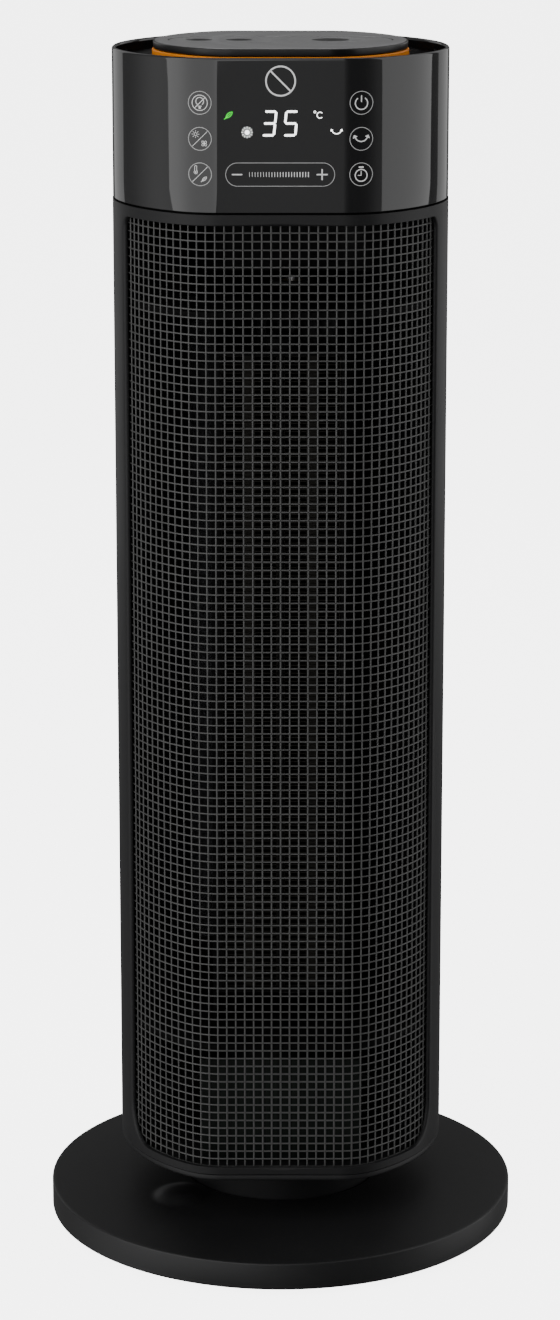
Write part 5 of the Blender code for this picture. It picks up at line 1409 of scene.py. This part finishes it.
def leaf(centre: Sequence[float], size: float, width: float) -> list[Stroke]:
    """A leaf: two arcs that meet at its tips, and a rib that runs out as its stalk."""
    radius = size * 0.72
    bow = math.degrees(math.asin(size / 2 / radius))
    drop = radius * math.cos(math.radians(bow))
    upper = arc((0.0, -drop), radius, 90 + bow, 90 - bow, width)
    lower = arc((0.0, drop), radius, -90 - bow, -90 + bow, width)
    rib = line((-size * 0.72, 0.0), (size * 0.22, 0.0), width)
    return [stroke.moved(centre[0], centre[1], turn=42) for stroke in (upper, lower, rib)]


def swing(centre: Sequence[float], radius: float, width: float, head: float) -> list[Stroke]:
    """A hanging arc with an arrow head at each end."""
    strokes = [arc(centre, radius, 205, 335, width)]
    for side in (-1, 1):
        turn = math.radians(270 + side * 68)
        tip = np.array([centre[0] + radius * math.cos(turn), centre[1] + radius * math.sin(turn)])
        up = np.array([side * 0.42, 0.91])
        across = np.array([up[1], -up[0]])
        for share in (0.12, 0.5, 0.85):
            reach = head * (1 - share)
            middle = tip + up * head * share
            strokes.append(line(middle - across * reach * 0.9, middle + across * reach * 0.9, head * 0.42))
    return strokes


def sign_strokes(sign: Sign) -> list[Stroke]:
    """The strokes of one sign about its own middle, in millimetres."""
    thin, mid, bold = 0.26, 0.36, 0.52
    slash = line((-3.6, -3.6), (3.6, 3.6), thin)
    side, half = 20.8, 5.65
    match sign:
        case Sign.KEEP_CLEAR:
            return [ring((0, 0), 7.05, 0.78), line((-4.9, 4.9), (4.9, -4.9), 0.78)]
        case Sign.LAMP_OFF:
            return [ring((0, 0), 3.7, mid), line((-2.5, -2.5), (2.6, 2.6), mid),
                    arc((0, 0.7), 1.9, -50, 230, mid), line((-0.8, -1.6), (0.8, -1.6), mid),
                    dot((0, -2.4), 0.6)]
        case Sign.HEAT_OR_FAN:
            turns = [0.8 + k * np.pi / 2 for k in range(4)]
            blades = [ring((2.1 + 0.95 * math.cos(t), -2.2 + 0.95 * math.sin(t)), 0.55, thin) for t in turns]
            return [slash, *sun((-2.1, 2.2), 1.75, 0.24, 8, False), *blades, dot((2.1, -2.2), 0.4)]
        case Sign.WARM_OR_SAVE:
            return [slash, arc((-2.1, 1.0), 0.85, 115, 425, thin), arc((-2.1, 3.7), 0.5, 0, 180, thin),
                    line((-2.6, 1.7), (-2.6, 3.7), thin), line((-1.6, 1.7), (-1.6, 3.7), thin),
                    dot((-2.1, 1.0), 0.42), *leaf((2.1, -2.2), 3.0, 0.30)]
        case Sign.POWER:
            return [arc((0, -0.2), 3.0, 128, 412, bold), line((0, 0.6), (0, 3.4), bold)]
        case Sign.SWING:
            return swing((0, 1.9), 3.2, bold, 1.15)
        case Sign.TIMER:
            return [ring((0, -0.5), 2.9, bold), line((-0.9, 3.5), (0.9, 3.5), 0.7),
                    line((0, -0.5), (0, 1.5), mid), line((0, -0.5), (-1.5, -0.5), mid)]
        case Sign.SUN:
            return sun((0, 0), 2.65, 0.26, 12, True)
        case Sign.SMALL_SWING:
            return swing((0, 1.7), 2.5, 0.44, 0.70)
        case Sign.LEAF:
            return leaf((0, 0), 4.2, 0.46)
        case Sign.DEGREES:
            return [ring((-1.75, 1.35), 0.50, 0.24), arc((0.75, -0.2), 1.45, 50, 310, 0.40)]
        case Sign.SLIDER:
            return [line((-side, half), (side, half), thin), line((-side, -half), (side, -half), thin),
                    arc((side, 0), half, -90, 90, thin), arc((-side, 0), half, 90, 270, thin)]
    plus = [line((17.9, 0), (22.8, 0), 0.62), line((20.35, -2.45), (20.35, 2.45), 0.62)]
    ticks = [line((-14.9 + 28.6 * i / 21, -1.05), (-14.9 + 28.6 * i / 21, 1.05), 0.20 + 0.013 * i)
             for i in range(22)]
    return [line((-23.2, 0), (-18.6, 0), 0.62), *plus, *ticks]


SEGMENTS = {"3": "abcdg", "5": "afgcd"}


def digit(character: str, width: float, height: float, stroke: float, lean: float) -> list[Stroke]:
    """A seven-segment digit about its own middle, leaning to the right."""
    x, z, gap = width / 2 - stroke / 2, height / 2 - stroke / 2, stroke * 0.62
    ends = {
        "a": ((-x + gap, z), (x - gap, z)), "g": ((-x + gap, 0), (x - gap, 0)),
        "d": ((-x + gap, -z), (x - gap, -z)), "f": ((-x, gap), (-x, z - gap)), "b": ((x, gap), (x, z - gap)),
        "c": ((x, -z + gap), (x, -gap)),
    }
    slope = math.tan(math.radians(lean))
    slant = [[(px + pz * slope, pz) for px, pz in ends[name]] for name in SEGMENTS[character]]
    return [line(start, end, stroke) for start, end in slant]


@dataclass
class ControlHead:
    """The glossy head, its panel signs, the tray in its top and the orange band round the plate."""

    step: float = 0.0002
    wall: float = 0.0022
    crest: float = 0.0014
    foot: float = 0.0002
    key_across: float = 39.1
    key_levels: tuple[float, float, float] = (598.05, 580.65, 563.45)
    key_radius: float = 5.55
    slider_across: float = -0.2
    digit_level: float = 588.2
    proud: float = 0.00010
    sunk: float = 0.00030

    def __post_init__(self) -> None:
        """Reads the head's place from the frame."""
        self.section = body_section()
        self.low, self.high = Span.of("head_shell").levels

    def shell(self) -> Surface:
        """The head's wall: straight sides under a half-round crest."""
        turn = np.linspace(0.0, np.pi, 15)
        crest = np.stack([self.step + self.wall / 2 * (1 - np.cos(turn)),
                          self.high - self.crest * (1 - np.sin(turn))], axis=1)
        foot = np.array([self.step, self.low]) + self.foot * quarter_round(5)
        levels = np.linspace(self.low + self.foot, self.high - self.crest, 8)[1:-1]
        side = np.stack([np.full_like(levels, self.step), levels], axis=1)
        inner = np.array([(self.step + self.wall, self.low)])
        return swept(self.section, np.concatenate([foot, side, crest, inner]), self.section.azimuths())

    def tray(self) -> Surface:
        """The tray between the head's rim and the plate, with a rounded edge."""
        inset = self.step + self.wall + 0.0003
        low, high = Span.of("top_tray").levels
        section = self.section
        rows: list[Row] = [(section, inset, share, low) for share in (0.0, 0.5, 1.0)]
        rows += [(section, inset + shift, share, high)
                 for shift, share in ((0.0, 1.0), (0.02, 1.0), (0.02, 0.0))]
        return loft(rows, section.azimuths(), wrap=False)

    def band(self) -> Surface:
        """The orange band under the plate's edge."""
        low, high = Span.of("accent_ring").levels
        corners = [(-0.0005, low, 0.0), (-0.0005, high, 0.0006), (0.0020, high, 0.0004), (0.0020, low, 0.0)]
        section = plate_section()
        return swept(section, filleted(corners), section.azimuths())

    def inlay(self, strokes: Sequence[Stroke]) -> Surface:
        """Strokes laid on the head's front, from just proud of it to just inside it.

        Args:
            strokes: in millimetres, X across and Z up from the floor.

        Returns:
            One closed strip for each stroke, whose Y is that of the front surface at its X.
        """
        strips = []
        for stroke in strokes:
            left, right = (edge * MM for edge in stroke.ribbon())
            corners = [(left, self.proud), (right, self.proud), (right, -self.sunk), (left, -self.sunk)]
            rows = [np.stack([flat[:, 0], self.section.front(flat[:, 0], out - self.step), flat[:, 1]],
                             axis=1) for flat, out in corners]
            strips.append(Surface.grid(np.stack(rows, axis=1), wrap_rows=stroke.closed, wrap_columns=True))
        return joined(strips)

    def signs(self) -> None:
        """Makes the panel's printed and lit signs; the printed ones glow with painted light."""
        def placed(sign: Sign, across: float, level: float) -> list[Stroke]:
            """A sign's strokes at its place on the panel."""
            return [stroke.moved(across, level) for stroke in sign_strokes(sign)]

        side, levels = self.key_across, self.key_levels
        keys = [(-side, *key) for key in zip(levels, (Sign.LAMP_OFF, Sign.HEAT_OR_FAN, Sign.WARM_OR_SAVE))]
        keys += [(side, *key) for key in zip(levels, (Sign.POWER, Sign.SWING, Sign.TIMER))]
        slider = (self.slider_across, levels[-1])
        symbols = [stroke for x, z, sign in keys for stroke in placed(sign, x, z)]
        digits = [stroke.moved(x, self.digit_level) for character, x in (("3", -5.4), ("5", 4.95))
                  for stroke in digit(character, 6.6, 12.6, 1.12, 6)]
        lit = [*placed(Sign.DEGREES, 18.3, 592.4), *placed(Sign.SUN, -16.2, 583.9),
               *placed(Sign.SMALL_SWING, 27.1, 584.0)]
        for name, strokes, finish in (
            ("key_rings", [ring((x, z), self.key_radius, 0.30) for x, z, _ in keys], FAINT_PRINT_PAINTED_GLOW),
            ("key_signs", symbols + placed(Sign.SCALE, *slider), PRINT_PAINTED_GLOW),
            ("keep_clear_sign", placed(Sign.KEEP_CLEAR, 0.0, 608.6), PRINT_PAINTED_GLOW),
            ("slider_rim", placed(Sign.SLIDER, *slider), FAINT_PRINT_PAINTED_GLOW),
            ("display_digits", digits, WHITE_LIGHT), ("display_signs", lit, WHITE_LIGHT),
            ("saver_sign", placed(Sign.LEAF, -24.9, 592.3), GREEN_LIGHT),
        ):
            Piece(name, self.inlay(strokes), finish, "tower").make()

    def build(self) -> None:
        """Makes the head's pieces."""
        Piece("head_moulding", self.shell(), GLOSS, "tower", ("head_shell",), sharp=60).make()
        Piece("head_tray", self.tray(), TRAY, "tower", ("top_tray",)).make()
        Piece("orange_band", self.band(), ORANGE, "tower", ("accent_ring",)).make()
        self.signs()


@dataclass
class TopCover:
    """The grey plate on top, with the pocket that the remote control lies in."""

    edge: float = 0.0006
    under_edge: float = 0.0004
    thickness: float = 0.0038
    fit: float = 0.0004
    pocket_wall: float = 0.0016
    pocket_gap: float = 0.0003
    pocket_edge: float = 0.0003
    inlay: float = 0.0002
    inlay_inset: float = 0.0009
    inlay_edge: float = 0.0001

    def moulding(self) -> Surface:
        """One closed skin of outline place and azimuth: from under the pocket, round the edge and into it."""
        section, pill = plate_section(), remote_outline()
        high = Span.of("top_plate").levels[1]
        top, bottom = high - self.inlay, high - self.thickness
        floor = Span.of("remote_base").levels[0] - self.pocket_gap
        outer, fit = -self.fit - self.pocket_wall, -self.fit
        rows: list[Row] = [(pill, outer, share, floor - self.pocket_wall) for share in (0.0, 0.5, 1.0)]
        rows += [(pill, outer, 1.0, bottom), (section, self.under_edge, 1.0, bottom),
                 (section, 0.0, 1.0, bottom + self.under_edge)]
        rows += [(section, self.edge * along, 1.0, top - self.edge * across)
                 for across, along in quarter_round(6)]
        rows += [(pill, fit - self.pocket_edge * across, 1.0, top - self.pocket_edge * along)
                 for across, along in quarter_round(6)]
        rows += [(pill, fit, share, floor) for share in (1.0, 0.5, 0.0)]
        return loft(rows, section.azimuths(), wrap=False)

    def sheet(self) -> Surface:
        """The sheet on top, with brushing and a painted sheen in its colour: a flat ring between the plate's
        outline and the pocket's.
        """
        section, pill = plate_section(), remote_outline()
        high = Span.of("top_plate").levels[1]
        low = high - 2 * self.inlay
        out, fit, soft = self.inlay_inset, -self.fit - self.pocket_edge, self.inlay_edge
        rows = [(section, out, low), (section, out, high - soft), (section, out + soft, high),
                (pill, fit - soft, high), (pill, fit, high - soft), (pill, fit, low)]
        return loft([(outline, inset, 1.0, height) for outline, inset, height in rows], section.azimuths())

    def build(self) -> None:
        """Makes the plate and its sheet."""
        Piece("top_cover", self.moulding(), COVER_EDGE, "tower", ("top_plate",), sharp=40).make()
        Piece("cover_sheet", self.sheet(), COVER_PAINTED_SHEEN, "tower", ("top_plate",), sharp=40).make()


@dataclass
class RemoteControl:
    """The remote control: two shells and three dished keys."""

    edge: float = 0.0004
    wall: float = 0.0015
    skin: float = 0.0012
    flange: float = 0.0012
    flange_height: float = 0.0008
    dish: float = 0.0005
    dish_share: float = 0.88
    key_gap: float = 0.0003
    keys: tuple[str, ...] = ("dimmer", "mode", "power")

    def shell(self, face: float, rim: float) -> Surface:
        """Half of the remote, from its face to the rim where the halves meet, its outer edge rounded."""
        pill, way = remote_outline(), math.copysign(1.0, rim - face)
        rows: list[Row] = [(pill, self.edge, share, face) for share in (0.0, 0.5)]
        rows += [(pill, self.edge * across, 1.0, face + way * self.edge * along)
                 for across, along in quarter_round(5)]
        rows += [(pill, 0.0, 1.0, rim), (pill, self.wall, 1.0, rim)]
        rows += [(pill, self.wall, share, face + way * self.skin) for share in (1.0, 0.5, 0.0)]
        return loft(rows, np.radians(np.arange(-180.0, 180.0, 1.5)), wrap=False)

    def key(self, name: str) -> tuple[Surface, Surface]:
        """A key and the hole that it slides in.

        Args:
            name: the key's own name.

        Returns:
            The dished key, and a rod a little wider than it.
        """
        span = Span.of(f"remote_button_{name}")
        low, top = span.levels
        radius, step = span.radius - self.flange, low + self.flange_height
        corners = [(radius * self.dish_share * d, top - self.dish * (1 - d**2), 0.0)
                   for d in np.linspace(0.0, 1.0, 12)]
        corners += [(radius, top, 0.0005), (radius, step, 0.0), (span.radius, step, 0.0),
                    (span.radius, low, 0.0), (0.0, low, 0.0)]
        past = Span.of("remote_top").levels[1] + 0.002
        hole = rod(radius + self.key_gap, step + 0.0001, past, span.centre, 64)
        return turned(filleted(corners, 5), span.centre, steps=64, wrap=False), hole

    def build(self) -> None:
        """Makes the shells and the keys."""
        low, middle = Span.of("remote_base").levels
        seam, high = Span.of("remote_top").levels
        made = {name: self.key(name) for name in self.keys}
        Piece("remote_lower", self.shell(low, middle), GLOSS, "remote", ("remote_base",)).make()
        Piece("remote_upper", self.shell(high, seam), COVER_PAINTED_SHEEN, "remote", ("remote_top",),
              holes=tuple(hole for _, hole in made.values())).make()
        for name, (key, _) in made.items():
            Piece(f"remote_key_{name}", key, KEY_PAINTED_SHEEN, f"key_{name}", (f"remote_button_{name}",)).make()


# Inside


@dataclass
class HeatingCore:
    """The two finned elements behind the grille, coloured near black as painted shade."""

    fin_pitch: float = 0.0021
    fin: float = 0.0004
    core: float = 0.0060
    core_inset: float = 0.001
    strip: float = 0.0006

    def element(self, node: str) -> Surface:
        """An upright row of stones with thin fins across it, joined by a strip at each side."""
        span = Span.of(node)
        (left, front, low), (right, back, high) = span.low, span.high
        middle, core = float(span.centre[0]), self.core / 2
        blocks = [((left, front, z), (right, back, z + self.fin))
                  for z in np.linspace(low, high - self.fin, int((high - low) / self.fin_pitch))]
        front_in, back_in = front + self.core_inset, back - self.core_inset
        blocks += [((left, front, low), (left + self.strip, back, high)),
                   ((right - self.strip, front, low), (right, back, high)),
                   ((middle - core, front_in, low), (middle + core, back_in, high))]
        lows, highs = zip(*blocks)
        return boxes(np.array(lows), np.array(highs))

    def build(self) -> None:
        """Makes both elements."""
        for side in ("left", "right"):
            node = f"ptc_element_{side}"
            Piece(f"fin_bank_{side}", self.element(node), FINS_PAINTED_SHADE, "tower", (node,)).make()


# The inner black and the motor can below are darkened as painted shade of the tower's inside.
INNER_FINISHES: dict[Finish, tuple[str, ...]] = {
    INNER_PAINTED_SHADE: ("lower_bulkhead", "upper_bulkhead", "top_deck", "duct_scroll", "duct_tongue", "heater_frame",
            "thermal_cutout"),
    NATURAL: ("tip_switch_plunger", "tip_switch_can", "pivot_post", "fixed_gear", "swing_pinion"),
    DARK: ("neck_retainer", "glide_ring", "fan_wheel", "rocker_switch"),
    STEEL: ("ballast_weight", "base_screw_1", "base_screw_2", "base_screw_3", "tip_switch_spring",
            "swing_motor", "fan_shaft", "coin_cell"),
    MOTOR_PAINTED_SHADE: ("fan_motor",),
    BRASS: ("thrust_washer", "shaft_bush"),
    RUBBER: ("bush_mount",),
    BOARD: ("power_board", "control_board", "remote_board"),
    SCREEN: ("display_module",),
}


def dress_inner_works() -> None:
    """Gives each CAD node that stays its finish."""
    for finish, names in INNER_FINISHES.items():
        for name in names:
            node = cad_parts[name]
            node.data.materials.clear()
            node.data.materials.append(finish.material())
            log.info("%s: %s", name, finish.name)


# Studio


@dataclass
class Studio:
    """A pale floor, soft boxes at both sides and to the rear, a dim room for reflections, and the camera."""

    camera_place: tuple[float, float, float] = (0.0, -1.8353, 0.7725)
    camera_tilt: float = 77.08
    lens: float = 99.09
    shift: tuple[float, float] = (-0.00045, -0.0713)
    floor_reach: float = 14.0
    background: float = 5.0
    surround: float = 0.015
    wall_radius: float = 4.5
    room: float = 0.15
    glows: tuple[tuple[float, float, float], ...] = (
        (0.0, 160.0, 0.47), (74.0, 12.0, 0.34), (-84.0, 9.0, 0.80))
    aim: tuple[float, float, float] = (0.0, 0.0, 0.35)
    lights: tuple[tuple[str, tuple[float, float, float], tuple[float, float], float], ...] = (
        ("left_box", (-0.97, -1.08, 0.75), (2.45, 3.0), 43.0),
        ("right_box", (1.45, 0.15, 0.75), (1.5, 3.0), 19.0),
        ("top_box", (0.0, 0.3, 2.2), (1.4, 1.4), 9.0),
        ("left_rear_box", (-1.06, 1.575, 0.9), (0.9, 2.2), 3.2),
        ("right_rear_box", (1.06, 1.575, 0.9), (0.9, 2.2), 3.2),
    )

    def floor(self) -> None:
        """A round, flat, pale floor that reflections pass through."""
        profile = np.array([(0.0, 0.0), (self.floor_reach / 2, 0.0), (self.floor_reach, 0.0)])
        disc = turned(profile, wrap=False)
        obj = mesh_object("pale_floor", disc)
        material, graph = new_material("pale_floor")
        seen = graph.add("LightPath").outputs["Is Camera Ray"]
        graph.feed(graph.tree.nodes["Principled BSDF"], {
            "Base Color": (0.82, 0.82, 0.82, 1.0), "Roughness": 0.9, "Emission Color": (1.0, 1.0, 1.0, 1.0),
            "Emission Strength": graph.ranged(seen, 0.0, self.background)})
        obj.data.materials.append(material)
        obj.visible_glossy = False

    def soft_box(self, name: str, place: Sequence[float], size: tuple[float, float], power: float) -> None:
        """A rectangular light that faces the tower's middle.

        Args:
            name: its name.
            place: its middle.
            size: its width and height.
            power: its power in watts.
        """
        data = bpy.data.lights.new(name, "AREA")
        data.shape = "RECTANGLE"
        data.size, data.size_y = size
        data.energy = power
        light = bpy.data.objects.new(name, data)
        bpy.context.scene.collection.objects.link(light)
        light.location = place
        towards = np.array(self.aim) - np.array(place)
        turn = math.atan2(towards[1], towards[0])
        tilt = math.acos(towards[2] / np.linalg.norm(towards))
        light.rotation_euler = (np.pi - tilt, 0.0, turn - np.pi / 2)
        light.visible_camera = False

    def world(self) -> None:
        """White where the camera sees it, and dim for all other light."""
        world = bpy.data.worlds.new("studio")
        world.use_nodes = True
        bpy.context.scene.world = world
        graph = Graph(world.node_tree)
        seen = graph.add("LightPath").outputs["Is Camera Ray"]
        graph.feed(graph.tree.nodes["Background"], {
            "Color": (1.0, 1.0, 1.0, 1.0), "Strength": graph.ranged(seen, self.surround, self.background)})

    def room_wall(self) -> None:
        """A round wall that only reflections see: a dim room with a soft glow at some azimuths.

        A glow is its power times the cosine of the angle from its azimuth, raised to its sharpness.
        """
        wall = turned(np.array([(self.wall_radius, -4.0), (self.wall_radius, 6.0)]), steps=96, wrap=False)
        obj = mesh_object("room_wall", wall)
        material, graph = new_material("room_glow")
        graph.tree.nodes.remove(graph.tree.nodes["Principled BSDF"])
        place = graph.add("TexCoord").outputs["Object"]
        level = graph.vector("NORMALIZE", graph.vector("MULTIPLY", place, (1.0, 1.0, 0.0)))
        total: Any = self.room
        for azimuth, sharpness, power in self.glows:
            turn = math.radians(azimuth)
            near = graph.vector("DOT_PRODUCT", level, (math.sin(turn), -math.cos(turn), 0.0), output="Value")
            glow = graph.maths("POWER", graph.maths("MAXIMUM", near, 0.0), sharpness)
            total = graph.maths("ADD", graph.maths("MULTIPLY", glow, power), total)
        light = graph.add("Emission", {"Strength": total})
        graph.feed(graph.tree.nodes["Material Output"], {"Surface": light.outputs[0]})
        obj.data.materials.append(material)
        obj.visible_camera = obj.visible_diffuse = obj.visible_shadow = False
        obj.visible_transmission = obj.visible_volume_scatter = False

    def camera(self) -> None:
        """The camera, low in front and looking a little down."""
        data = bpy.data.cameras.new("camera")
        data.lens = self.lens
        data.sensor_width = 36.0
        data.shift_x, data.shift_y = self.shift
        data.clip_start, data.clip_end = 0.05, 30.0
        camera = bpy.data.objects.new("camera", data)
        bpy.context.scene.collection.objects.link(camera)
        camera.location = self.camera_place
        camera.rotation_euler = (math.radians(self.camera_tilt), 0.0, 0.0)
        bpy.context.scene.camera = camera

    def build(self) -> None:
        """Sets the stage."""
        self.floor()
        self.world()
        self.room_wall()
        for light in self.lights:
            self.soft_box(*light)
        self.camera()


def main() -> None:
    """Builds every sub-assembly, dresses the inner works and sets the stage."""
    logging.basicConfig(level=logging.INFO, format="%(name)s: %(message)s")
    for assembly in (BaseStand(), SwivelNeck(), TowerShell(), WireGrille(), RearIntake(), MainSwitch(),
                     ControlHead(), TopCover(), RemoteControl(), HeatingCore()):
        log.info("building %s", type(assembly).__name__)
        assembly.build()
    dress_inner_works()
    Studio().build()


if __name__ == "__main__":
    main()
